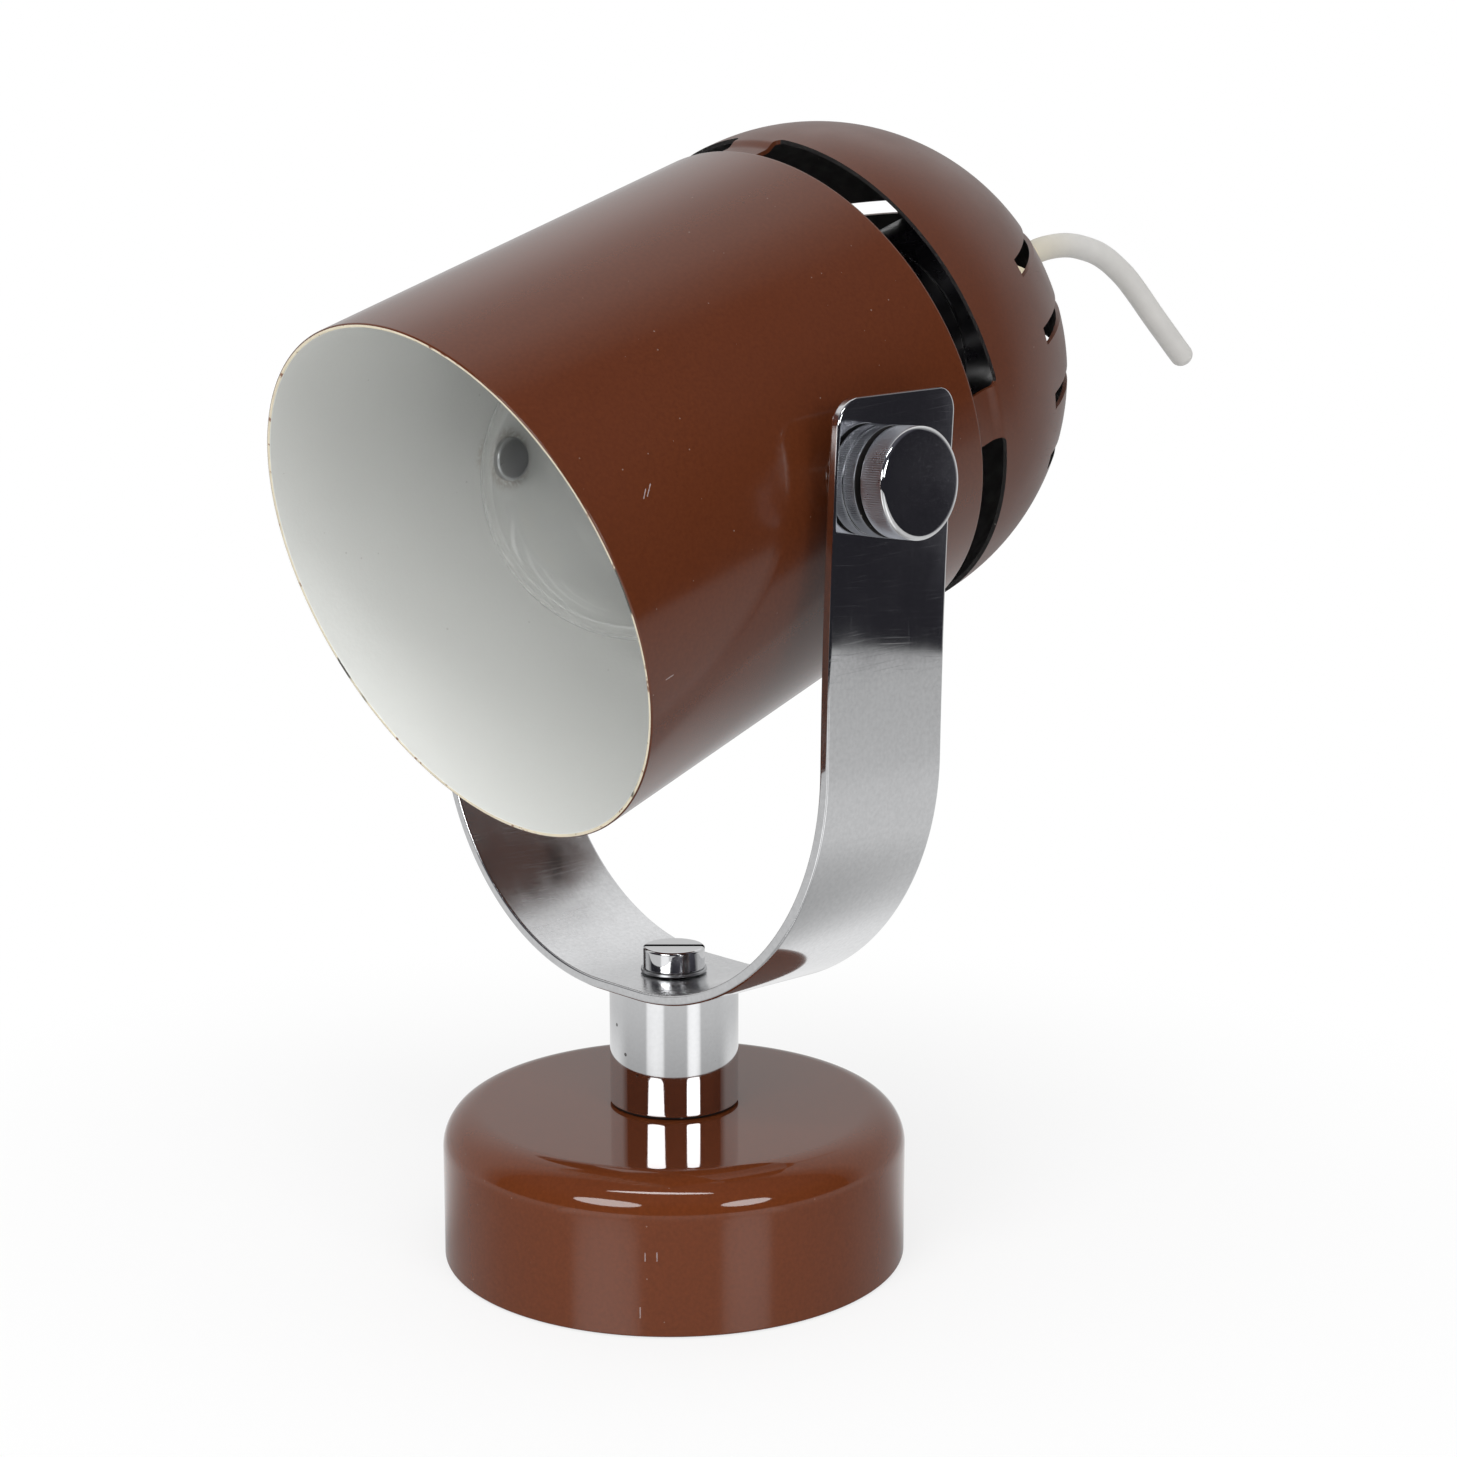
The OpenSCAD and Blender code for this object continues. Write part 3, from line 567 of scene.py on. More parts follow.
# %% [markdown]
# The lead's sheath is white plastic. The lamp's heat has yellowed it close to the dome, so its colour
# follows the distance along the lead, which the UV map holds, and handling has left a cloudy soil on it.

# %% Cord sheath
FRESH_WHITE = (0.56, 0.55, 0.53, 1)
AGED_WHITE = (0.53, 0.49, 0.40, 1)
AGED_END, FRESH_START = 6 * MM, 26 * MM


def make_sheath():
    """White plastic, aged near the dome: the two tints are mixed by the distance along the lead."""
    material, tree, shader, laid = material_base("cord_sheath", on_surface=True)
    spot = object_spot(tree)
    along = add(tree, "ShaderNodeSeparateXYZ", {"Vector": laid}).outputs["Y"]
    tint = mixed(tree, ramp(tree, along, AGED_END, FRESH_START), AGED_WHITE, FRESH_WHITE)
    soiled = effect(tree, DRIFT, vector=spot, color=tint, scale=220.0, amount=0.07)
    grain = cloud(tree, spot, scale=900.0, detail=3.0)
    plug(tree, shader, Base_Color=soiled, Roughness=ramp(tree, grain, 0.3, 0.7, 0.38, 0.52))
    plug(tree, shader, Normal=bumped(tree, grain, 0.03 * MM))
    return material


SHEATH = make_sheath()
print("sheath:", SHEATH.name)

# %% [markdown]
# A lead, a bent strap and a filament are all the same idea: a small section carried along a line. The
# line runs smoothly through given points or follows a formula, and the section keeps one of its axes
# fixed in space, so it can't twist on the way.


# %% Lines and swept sections
def through(points, per_span):
    """A smooth line through points: each span is the Catmull-Rom cubic of its four neighbours."""
    p = np.concatenate([2 * points[:1] - points[1:2], points, 2 * points[-1:] - points[-2:-1]])
    t = np.linspace(0, 1, per_span, endpoint=False)[None, :, None]
    a, b, c, d = (p[k: len(p) - 3 + k, None, :] for k in range(4))
    square, cube = 2 * a - 5 * b + 4 * c - d, 3 * b - a - 3 * c + d
    spans = 0.5 * (2 * b + (c - a) * t + square * t**2 + cube * t**3)
    return np.concatenate([spans.reshape(-1, points.shape[1]), points[-1:]])


def ring(count, radius):
    """Points of a full circle, as rows of two offsets."""
    a = np.linspace(0, 2 * math.pi, count, endpoint=False)
    return np.stack([np.cos(a), np.sin(a)], -1) * radius


def swept(path, section, side):
    """A section of offsets (a, b) carried along a path: point = path + a side + b (tangent cross side)."""
    tangent = np.gradient(path, axis=0)
    tangent /= np.linalg.norm(tangent, axis=1)[:, None]
    lift = np.cross(tangent, side)
    lift /= np.linalg.norm(lift, axis=1)[:, None]
    return path[:, None, :] + section[..., :1] * np.array(side) + section[..., 1:] * lift[:, None, :]


print("sweep:", ring(28, 1.0).shape[0], "points make a smooth round lead")

# %% [markdown]
# The lead is a soft round sheath that leaves a nylon grip behind the dome, runs straight out for a few
# diameters and then droops until its blunt end. It could be a curve with a bevel, but a swept tube lets
# the end be rounded like a cut sheath. Its listed points are those of the construction, measured back
# from the grip and up.

# %% Cord
CORD_D = 5.2 * MM
CORD_ROUTE = np.array([
    [-8, 0], [-4, 0], [0, 0], [4, -0.2], [8, -0.9], [12, -2], [15.5, -3.4], [19, -5.3], [22.4, -7.5],
    [25.4, -10.1], [28, -13], [30.5, -16.2], [32.5, -19.4], [34.4, -22.7], [36.2, -26], [38, -29.2],
    [39.8, -32.3], [41.5, -35.2], [43, -37.8], [44.5, -40.3],
]) * MM
TIP_ROUND, TIP_LEFT = 0.85, 0.03
GRIP_END, GRIP_FRONT, _, GRIP_R = measure("cord_grip", HEAD)
route = through(CORD_ROUTE, 6)
lead_line = np.column_stack([np.zeros(len(route)), route[:, 1], GRIP_END - route[:, 0]])
end_way = lead_line[-1] - lead_line[-2]
end_way /= np.linalg.norm(end_way)
tip_turn = np.linspace(0, 1, 11)[1:] * math.pi / 2
tip_line = lead_line[-1] + np.outer(np.sin(tip_turn) * TIP_ROUND * CORD_D / 2, end_way)
swell = np.concatenate([np.ones(len(route)), np.maximum(np.cos(tip_turn), TIP_LEFT)])
lead_tube = swept(
    np.concatenate([lead_line, tip_line]), swell[:, None, None] * ring(28, CORD_D / 2), (1, 0, 0),
)
cord = skin("lead_cord", lead_tube, HEAD, False, True, caps=True)
dress(cord, "head", [SHEATH], ["cord_tail"])

# %% [markdown]
# The lacquer is one red-brown, but the pieces were sprayed and handled differently: the canopy shines
# like a mirror, the shade is a little duller and the dome is satin. One function makes all of them from a
# gloss level. Dust shows as pale specks, hairlines dull the shine, and the peel of the sprayed coat is a
# very low bump. A few nicks are listed one by one, as an angle round the drum in degrees and a height in
# millimetres for each end.

# %% Lacquers
BROWN = (0.105, 0.026, 0.0078, 1)
# The shade and the dome take a darker copy of the same brown: painted shade.
SHADED_BROWN = (0.077, 0.0192, 0.0064, 1)
# A lighter brown for the back edge of the tube: a painted highlight.
HIGHLIGHT_BROWN = (0.085, 0.034, 0.019, 1)
DUST = (0.34, 0.27, 0.23, 1)
PALE_NICK = (0.27, 0.21, 0.20, 1)
NICK_WIDTH = 0.085 * MM
LACQUER_IOR = 1.5
TUBE_NICKS = (
    ((18.2, 42.3), (19.5, 41.1)), ((18.2, 41.5), (19.9, 39.8)), ((-16.0, 49.3), (-16.0, 47.6)),
)
CANOPY_NICKS = (
    ((-48.5, 15.8), (-48.5, 14.3)), ((-45.8, 15.9), (-45.8, 14.4)), ((-49.7, 5.5), (-49.7, 3.6)),
)
CANOPY_R = measure("base_canopy", STAND)[3]


def on_drum(where, radius, ends):
    """World points of a nick's two ends on a drum: x = r cos a, y = r sin a, z = h in the drum's place."""
    a, h = np.radians([end[0] for end in ends]), np.array([end[1] for end in ends]) * MM
    points = np.column_stack([radius * np.cos(a), radius * np.sin(a), h]) @ where[1].T + where[0]
    return [tuple(point) for point in points]


def make_lacquer(name, colour, roughness, peel, dust, nicks=()):
    """Lacquer of a given colour and roughness: drifting colour, specks, hairlines and a sprayed peel."""
    material, tree, shader, spot = material_base(name)
    cloudy = effect(tree, DRIFT, vector=spot, color=colour, scale=26.0, amount=0.05)
    tint = effect(tree, DRIFT, vector=spot, color=cloudy, scale=1500.0, amount=0.22)
    specks = effect(tree, SPECKS, vector=spot, scale=900.0, size=0.14, share=dust)
    lines = effect(tree, HAIRLINES, vector=spot, scale=2600.0, share=0.10, turn=0.5)
    spotted = mixed(tree, math_node(tree, "MULTIPLY", specks, 0.35), tint, DUST)
    for start, end in nicks:
        nick = effect(tree, NICK, vector=spot, start=start, end=end, width=NICK_WIDTH)
        spotted = mixed(tree, nick, spotted, PALE_NICK)
    slow = cloud(tree, spot, scale=45.0, detail=3.0)
    even = ramp(tree, slow, 0.3, 0.7, roughness * 0.88, roughness * 1.12)
    rough = math_node(tree, "MULTIPLY_ADD", lines, 0.05, even)
    coat = math_node(tree, "ADD", cloud(tree, spot, scale=700.0, detail=2.0), specks)
    plug(tree, shader, Base_Color=spotted, Roughness=rough, Normal=bumped(tree, coat, peel))
    plug(tree, shader, IOR=LACQUER_IOR)
    return material


canopy_nicks = [on_drum(STAND, CANOPY_R, ends) for ends in CANOPY_NICKS]
tube_nicks = [on_drum(HEAD, TUBE_R, ends) for ends in TUBE_NICKS]
CANOPY_LACQUER = make_lacquer("canopy_lacquer", BROWN, 0.05, 0.0002 * MM, 0.03, canopy_nicks)
SHADE_LACQUER = make_lacquer("shade_lacquer", SHADED_BROWN, 0.15, 0.0015 * MM, 0.05, tube_nicks)
DOME_LACQUER = make_lacquer("dome_lacquer", SHADED_BROWN, 0.34, 0.003 * MM, 0.03)
# The edge lacquer paints a highlight on the tube's back edge.
HIGHLIGHT_LACQUER = make_lacquer("edge_highlight_lacquer", HIGHLIGHT_BROWN, 0.40, 0.004 * MM, 0.05)
print("lacquers: canopy, shade, dome and highlit edge, with", len(canopy_nicks) + len(tube_nicks), "nicks")

# %% [markdown]
# Inside, the shade is painted off-white to throw the light forward, and the paint has bloomed with rust
# round the two studs. At the mouth the thin edge of the sheet shows its cream primer, chipped here and
# there down to the steel. Thresholds on clouds of two sizes make the chips.

# %% Inside paint and cut edge
OFF_WHITE = (0.735, 0.745, 0.72, 1)
GREY_GRAIN = (0.30, 0.29, 0.26, 1)
RUST = (0.24, 0.16, 0.10, 1)
RUST_FROM, RUST_TO = 5.0 * MM, 7.4 * MM
CREAM = (0.60, 0.54, 0.41, 1)
NIBBLED_BROWN = (0.20, 0.10, 0.06, 1)
DARK_STEEL = (0.06, 0.055, 0.045, 1)


def make_inside_paint():
    """Off-white matt paint with a few grains, and a rusty bloom that fades away from the tilt axis."""
    material, tree, shader, spot = material_base("inside_paint")
    tint = effect(tree, DRIFT, vector=spot, color=OFF_WHITE, scale=18.0, amount=0.035)
    specks = effect(tree, SPECKS, vector=spot, scale=520.0, size=0.14, share=0.05)
    spotted = mixed(tree, math_node(tree, "MULTIPLY", specks, 0.25), tint, GREY_GRAIN)
    grain = cloud(tree, spot, scale=1500.0, detail=2.0)
    from_pivot = vector_math(tree, "SUBTRACT", spot, tuple(PIVOT))
    away = vector_math(tree, "LENGTH", vector_math(tree, "MULTIPLY", from_pivot, (0, 1, 1)))
    halo = ramp(tree, away, RUST_FROM, RUST_TO, 0.45, 0.0)
    bloom = math_node(tree, "MULTIPLY", halo, ramp(tree, grain, 0.3, 0.6))
    plug(tree, shader, Base_Color=mixed(tree, bloom, spotted, RUST))
    plug(tree, shader, Roughness=ramp(tree, grain, 0.3, 0.7, 0.48, 0.6))
    plug(tree, shader, Normal=bumped(tree, grain, 0.02 * MM))
    return material


def make_cut_edge():
    """The mouth's thin edge: cream primer, nibbled to brown in places and to dark steel in a few."""
    material, tree, shader, spot = material_base("cut_edge")
    fine = cloud(tree, spot, scale=520.0, detail=4.0)
    wide = cloud(tree, spot, scale=65.0, detail=3.0)
    tint = effect(tree, DRIFT, vector=spot, color=CREAM, scale=160.0, amount=0.2)
    nibbled = mixed(tree, ramp(tree, fine, 0.60, 0.66), tint, NIBBLED_BROWN)
    chipped = mixed(tree, ramp(tree, wide, 0.62, 0.65), nibbled, DARK_STEEL)
    plug(tree, shader, Base_Color=chipped, Roughness=ramp(tree, fine, 0.3, 0.7, 0.4, 0.65))
    plug(tree, shader, Normal=bumped(tree, fine, 0.05 * MM))
    return material


INSIDE_PAINT, CUT_EDGE = make_inside_paint(), make_cut_edge()
print("paints:", INSIDE_PAINT.name, "and", CUT_EDGE.name)

# %% [markdown]
# Chromium plate is a metal mirror. On its own it is only as good as what it reflects, so the wear has to
# carry it: the strap is crossed by fine lines from wiping, the stem has a few pits, and the knob's face
# is scuffed. The strap's inside was never polished as well as its outside, so it gets a rougher plate of
# its own.

# %% Chromed plate
CHROME = (0.72, 0.725, 0.735, 1)
PIT_DARK = (0.05, 0.045, 0.04, 1)
PIT_DEPTH = 0.0006 * MM


def make_plate(name, roughness, lines, pits, mottle, on_surface=False):
    """Bright plate: hairlines and a haze roughen the mirror, a mottle dims it, and pits are holes."""
    material, tree, shader, laid = material_base(name, on_surface)
    spot = object_spot(tree)
    marks = effect(tree, HAIRLINES, vector=laid, scale=3600.0, share=lines, turn=0.08)
    cross = add(tree, "ShaderNodeMapping", {"Vector": laid, "Rotation": (0, 0, math.pi / 2)}).outputs[0]
    crossing = effect(tree, HAIRLINES, vector=cross, scale=3200.0, share=lines, turn=0.06)
    worn = math_node(tree, "MAXIMUM", math_node(tree, "MULTIPLY", marks, 0.35), crossing)
    holes = effect(tree, SPECKS, vector=spot, scale=330.0, size=0.15, share=pits)
    cloudy = effect(tree, DRIFT, vector=spot, color=CHROME, scale=40.0, amount=0.03)
    clean = effect(tree, DRIFT, vector=spot, color=cloudy, scale=1300.0, amount=mottle)
    tint = mixed(tree, math_node(tree, "MULTIPLY", holes, 0.8), clean, PIT_DARK)
    haze = cloud(tree, spot, scale=60.0, detail=6.0)
    even = ramp(tree, haze, 0.35, 0.7, roughness * 0.7, roughness * 1.5)
    rough = math_node(tree, "MULTIPLY_ADD", worn, 0.07, even)
    depth = math_node(tree, "SUBTRACT", 0.0, math_node(tree, "MULTIPLY_ADD", worn, 0.3, holes))
    plug(tree, shader, Base_Color=tint, Metallic=1.0, Roughness=rough)
    plug(tree, shader, Normal=bumped(tree, depth, PIT_DEPTH))
    return material


STRAP_PLATE = make_plate("strap_plate", 0.055, lines=0.15, pits=0.03, mottle=0.14, on_surface=True)
STRAP_INSIDE = make_plate("strap_inside", 0.18, lines=0.22, pits=0.05, mottle=0.14, on_surface=True)
STEM_PLATE = make_plate("stem_plate", 0.03, lines=0.10, pits=0.10, mottle=0.05)
KNOB_PLATE = make_plate("knob_plate", 0.05, lines=0.12, pits=0.05, mottle=0.12)
print("plates: strap, strap inside, stem and knob")

# %% [markdown]
# The other metals are duller: zinc on hidden steel, brass in the holder, and a knurl whose tiny teeth
# scatter the light. The knurl next to the arm gets a darker copy of its colour, which is painted shade for
# the band that lies in the arm's shadow.


# %% Metals
def make_metal(name, colour, roughness, drift=0.12):
    """A plain worked metal: colour that drifts with tarnish, cloudy roughness and fine lines."""
    material, tree, shader, spot = material_base(name)
    tint = effect(tree, DRIFT, vector=spot, color=colour, scale=120.0, amount=drift)
    lines = effect(tree, HAIRLINES, vector=spot, scale=2400.0, share=0.2, turn=0.7)
    worked = cloud(tree, spot, scale=240.0, detail=4.0)
    even = ramp(tree, worked, 0.3, 0.7, roughness * 0.8, roughness * 1.25)
    rough = math_node(tree, "MULTIPLY_ADD", lines, 0.1, even)
    plug(tree, shader, Base_Color=tint, Metallic=1.0, Roughness=rough)
    plug(tree, shader, Normal=bumped(tree, worked, 0.01 * MM))
    return material


KNURL = make_metal("knurled_plate", (0.47, 0.485, 0.53, 1), 0.33, drift=0.06)
# The inner knurl is a darker copy: painted shade where the arm shades the band.
SHADED_KNURL = make_metal("shaded_knurl", (0.24, 0.25, 0.275, 1), 0.36, drift=0.06)
ZINC = make_metal("zinc_steel", (0.50, 0.51, 0.52, 1), 0.34)
BRASS = make_metal("brass_sheet", (0.62, 0.44, 0.17, 1), 0.28)
SOLDER = make_metal("solder", (0.46, 0.46, 0.47, 1), 0.42)
TUNGSTEN = make_metal("tungsten", (0.24, 0.235, 0.23, 1), 0.4)
print("metals: two knurls, zinc, brass, solder and tungsten")

# %% [markdown]
# Mouldings share one recipe as well, from black plastic to ceramic: dust in specks over a colour that
# drifts. The glass is clear, and its wall is thin enough to bend light very little, so its index is set
# well below that of a solid lump.

# %% Mouldings and glass
MOULDING_DUST = (0.42, 0.40, 0.37, 1)
GLASS_TINT = (0.985, 0.988, 0.985, 1)
GLASS_IOR = 1.22


def make_moulding(name, colour, roughness, drift=0.06):
    """A moulded or glazed piece: drifting colour, dust in specks and a faint flow of the surface."""
    material, tree, shader, spot = material_base(name)
    tint = effect(tree, DRIFT, vector=spot, color=colour, scale=90.0, amount=drift)
    dust = effect(tree, SPECKS, vector=spot, scale=700.0, size=0.15, share=0.12)
    spotted = mixed(tree, math_node(tree, "MULTIPLY", dust, 0.35), tint, MOULDING_DUST)
    flow = cloud(tree, spot, scale=300.0, detail=3.0)
    rough = ramp(tree, flow, 0.3, 0.7, roughness * 0.85, roughness * 1.2)
    plug(tree, shader, Base_Color=spotted, Roughness=rough, Normal=bumped(tree, flow, 0.008 * MM))
    return material


def make_glass():
    """Clear thin glass with a faint smear of dust that shows only as a change of roughness."""
    material, tree, shader, spot = material_base("clear_glass")
    smear = cloud(tree, spot, scale=70.0, detail=5.0)
    tint = effect(tree, DRIFT, vector=spot, color=GLASS_TINT, scale=40.0, amount=0.01)
    plug(tree, shader, Base_Color=tint, Roughness=ramp(tree, smear, 0.45, 0.75, 0.0, 0.05))
    plug(tree, shader, Transmission_Weight=1.0, IOR=GLASS_IOR)
    return material


BLACK = make_moulding("black_moulding", (0.011, 0.0105, 0.013, 1), 0.30, drift=0.2)
# A near-black matt moulding used as painted shade: the stem's foot, the knob's groove and the dome's
# inside.
PAINTED_SHADE = make_moulding("painted_shade", (0.0075, 0.006, 0.006, 1), 0.62, drift=0.2)
CERAMIC = make_moulding("white_ceramic", (0.72, 0.69, 0.62, 1), 0.22)
NYLON = make_moulding("aged_nylon", (0.64, 0.56, 0.40, 1), 0.42)
WIRE_SHEATH = make_moulding("wire_sheath", (0.66, 0.65, 0.62, 1), 0.4)
GLASS = make_glass()
print("materials so far:", len(bpy.data.materials))

# %% [markdown]
# The canopy is drawn from one disc of sheet: a straight side, a generous rolled edge and a flat top with
# a hole under the stem. Spinning the sheet's own closed section gives the outside, the open inside and
# the rim at once.

# %% Canopy
SHEET = 1.0 * MM
SHEET_EASE = 0.3 * MM
CANOPY_EDGE_R = 7.5 * MM
CANOPY_TOP, CANOPY_HOLE_R = measure("base_canopy", STAND)[1:3]
canopy_inside, canopy_under = CANOPY_R - SHEET, CANOPY_TOP - SHEET
canopy_section = rounded(
    [(CANOPY_R, 0), (CANOPY_R, CANOPY_TOP), (CANOPY_HOLE_R, CANOPY_TOP), (CANOPY_HOLE_R, canopy_under),
     (canopy_inside, canopy_under), (canopy_inside, 0)],
    [SHEET_EASE, CANOPY_EDGE_R, SHEET_EASE, SHEET_EASE, CANOPY_EDGE_R - SHEET, SHEET_EASE],
)
canopy = turned("canopy", canopy_section, STAND, steps=288)
dress(canopy, "base", [CANOPY_LACQUER, DOME_LACQUER], ["base_canopy"],
      lambda r, h, out, up: (out < -0.3) | (up < -0.3))

# %% [markdown]
# The stem is a short chromed tube, closed at the top but for the screw's hole. Its lowest faces, which
# curve in where it meets the canopy, are near black: painted shade.

# %% Stem
STEM_WALL = 1.2 * MM
FOOT_EASE, RIM_EASE = 0.8 * MM, 0.4 * MM
FOOT_SHADE_H = 0.6 * MM
_, STEM_TOP, SCREW_HOLE_R, STEM_R = measure("stem_collar", STAND)
stem_inside, stem_under = STEM_R - STEM_WALL, STEM_TOP - STEM_WALL
stem_section = rounded(
    [(STEM_R, CANOPY_TOP), (STEM_R, STEM_TOP), (SCREW_HOLE_R, STEM_TOP), (SCREW_HOLE_R, stem_under),
     (stem_inside, stem_under), (stem_inside, CANOPY_TOP)],
    [FOOT_EASE, RIM_EASE, SHEET_EASE, SHEET_EASE, SHEET_EASE, SHEET_EASE],
)
stem = turned("stem", stem_section, STAND)
# The lowest faces of the stem get painted shade.
dress(stem, "base", [STEM_PLATE, PAINTED_SHADE], ["stem_collar"],
      lambda r, h, out, up: h < CANOPY_TOP + FOOT_SHADE_H)

# %% [markdown]
# A cheese-headed screw with a driver's slot holds the yoke on the stem, and a thin sprung washer under
# its head keeps the turning stiff. Both are spun, and the slot is carved with a block.

# %% Screw and washer
SCREW_R = 3.0 * MM
DRIVER_SLOT = np.array([20, 0.7, 1.6]) * MM
DRIVER_TURN = 47.0
WASHER_EASE = 0.15 * MM
SCREW_LOW, SCREW_TOP, _, SCREW_HEAD_R = measure("swivel_screw", STAND)
WASHER_LOW, SCREW_SEAT, WASHER_HOLE_R, WASHER_R = measure("tension_washer", STAND)
screw_section = rounded(
    [(0, SCREW_LOW), (SCREW_R, SCREW_LOW), (SCREW_R, SCREW_SEAT), (SCREW_HEAD_R, SCREW_SEAT),
     (SCREW_HEAD_R, SCREW_TOP), (0, SCREW_TOP)],
    [0, 0.4 * MM, 0, 0.25 * MM, 0.6 * MM, 0],
)
screw = turned("swivel_screw_head", screw_section, STAND, closed=False, steps=128)
carve(screw, [slab("driver_slot", (0, 0, SCREW_TOP), DRIVER_SLOT, STAND, DRIVER_TURN)])
dress(screw, "base", [STEM_PLATE], ["swivel_screw"])
washer_section = rounded(
    [(WASHER_HOLE_R, WASHER_LOW), (WASHER_R, WASHER_LOW),
     (WASHER_R, SCREW_SEAT), (WASHER_HOLE_R, SCREW_SEAT)],
    WASHER_EASE,
)
washer = turned("washer", washer_section, STAND, steps=128)
dress(washer, "base", [ZINC], ["tension_washer"])

# %% [markdown]
# The yoke is one strip of plated bar bent into a U. A bent bar is a section carried along a path, and the
# path is the middle line of the U. It needs short steps at the arms' ends, where the corners will be
# rounded, and longer ones further down.

# %% Path of the yoke
STRAP_T = 2.0 * MM
STRAP_EASE = 0.4 * MM
BEND_R = 50.0 * MM
ARM_CORNER_R = 4.5 * MM
yoke_low, yoke_high = (np.array(corner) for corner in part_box("yoke_strap"))
strap_half_w, arm_top = yoke_high[1], yoke_high[2]
arm_x = yoke_high[0] - STRAP_T / 2
floor_z = yoke_low[2] + STRAP_T / 2
u_shape = rounded(
    [(arm_x, arm_top), (arm_x, floor_z), (-arm_x, floor_z), (-arm_x, arm_top)],
    [0, BEND_R - STRAP_T / 2, BEND_R - STRAP_T / 2, 0],
    hold=0,
)
fine_way = (1 - np.cos(np.linspace(0, math.pi / 2, 14))) * (ARM_CORNER_R - STRAP_EASE) + STRAP_EASE
arm_way = np.concatenate([[0], fine_way[:1] * 0.3, fine_way, np.linspace(6, 58, 14) * MM])
right_arm = np.column_stack([np.full(len(arm_way), arm_x), arm_top - arm_way])
path_xz = np.concatenate([right_arm, u_shape[1:-1], right_arm[::-1] * (-1, 1)])
along_strap = run_length(path_xz, False)
from_end = np.minimum(along_strap, along_strap[-1] - along_strap)
print(f"strap: {along_strap[-1] / MM:.0f} mm long before bending, arms {2 * arm_x / MM:.1f} mm apart")

# %% [markdown]
# The section is a flat rectangle with eased edges. Near the two ends it gets narrower along a quarter
# circle, which rounds the corners of the arms, and thinner along a small one. The bar was bent by hand,
# so the arms lean out and back a little towards the top, and their ends are cut a little askew.

# %% Yoke
ARM_SLANT, ARM_TOP_ZONE = 0.07, 24 * MM
ARM_LEAN, ARM_BACK, LEAN_FROM = 0.6 * MM, 0.9 * MM, 95 * MM
bar = rounded(
    [(strap_half_w, STRAP_T / 2), (-strap_half_w, STRAP_T / 2),
     (-strap_half_w, -STRAP_T / 2), (strap_half_w, -STRAP_T / 2)],
    STRAP_EASE,
)
corner_way = np.clip(1 - from_end / ARM_CORNER_R, 0, 1)
narrow = ARM_CORNER_R * (1 - np.sqrt(1 - corner_way**2))
ease_way = 1 - np.clip(from_end / STRAP_EASE, 0, 1)
thinner = STRAP_EASE * (1 - np.sqrt(np.clip(1 - ease_way**2, 0, 1)))
across = bar[None, :, 0] - np.sign(bar[None, :, 0]) * (narrow + 0.5 * thinner)[:, None]
through_bar = bar[None, :, 1] * (1 - thinner / (STRAP_T / 2))[:, None]
path_3d = np.column_stack([path_xz[:, 0], np.zeros(len(path_xz)), path_xz[:, 1]])
strap = swept(path_3d, np.stack([across, through_bar], -1), (0, 1, 0))
near_end = np.clip(1 - from_end / ARM_TOP_ZONE, 0, 1)
strap[..., 2] += ARM_SLANT * strap[..., 1] * (near_end**2 * (3 - 2 * near_end))[:, None]
lean_share = np.clip((strap[..., 2] - LEAN_FROM) / (PIVOT[2] - LEAN_FROM), 0, None) ** 2
strap[..., 0] += np.sign(strap[..., 0]) * ARM_LEAN * lean_share
strap[..., 1] += ARM_BACK * lean_share
yoke = skin("yoke", strap, STAND, False, True, caps=True)
YOKE_MIDDLE = place((0, 0, floor_z + BEND_R), (1, 0, 0), (0, 1, 0))
dress(yoke, "yoke", [STRAP_PLATE, STRAP_INSIDE], ["yoke_strap"],
      lambda r, h, out, up: out < -0.3, YOKE_MIDDLE)
ARM_INSIDE = arm_x - STRAP_T / 2 + ARM_LEAN
ARM_OUTSIDE = arm_x + STRAP_T / 2 + ARM_LEAN

# %% [markdown]
# The shade is a plain tube of thin sheet: brown outside, off-white inside, and a bare edge at the mouth
# where the paint is worn. One closed section makes all three, and the faces choose their paint by where
# they are.

# %% Shade tube
TUBE_SHEET = 0.8 * MM
TUBE_EASES = np.array([0.6, 0.25, 0.25, 0.12]) * MM
BARE_IN = 0.22 * MM
tube_inside = TUBE_R - TUBE_SHEET
tube_section = rounded(
    [(TUBE_R, TUBE_BACK), (TUBE_R, TUBE_FRONT), (tube_inside, TUBE_FRONT), (tube_inside, TUBE_BACK)],
    TUBE_EASES,
)


def shade_paint(r, h, out, up):
    """Lacquer outside, white inside, a bare edge at the mouth and a painted highlight on the back edge."""
    bare = (up > 0.55) & (r < TUBE_R - BARE_IN)
    return np.select([bare, up < -0.9, out < -0.1], [2, 3, 1], 0)


shade = turned("shade", tube_section, HEAD, steps=360)
shade_finish = [SHADE_LACQUER, INSIDE_PAINT, CUT_EDGE, HIGHLIGHT_LACQUER]
dress(shade, "head", shade_finish, ["shade_tube"], shade_paint, HEAD)

# %% [markdown]
# The dome is the piece that takes the most skill. It is a half sphere with a flat seat at its pole. Its
# edge will be cut back to leave four tabs, which step inwards by one sheet and hold inside the tube. So
# the shell is spun first as if the tab went all the way round, with the step in its section.

# %% Dome shell
POLE, LAP_END, NIPPLE_HOLE_R, DOME_R = measure("rear_dome", HEAD)
AIR_GAP = 6.2 * MM
DOME_SKIRT = 3.1 * MM
JOGGLE = 2.4 * MM
DOME_EDGE = TUBE_BACK - AIR_GAP
EQUATOR = DOME_EDGE - DOME_SKIRT


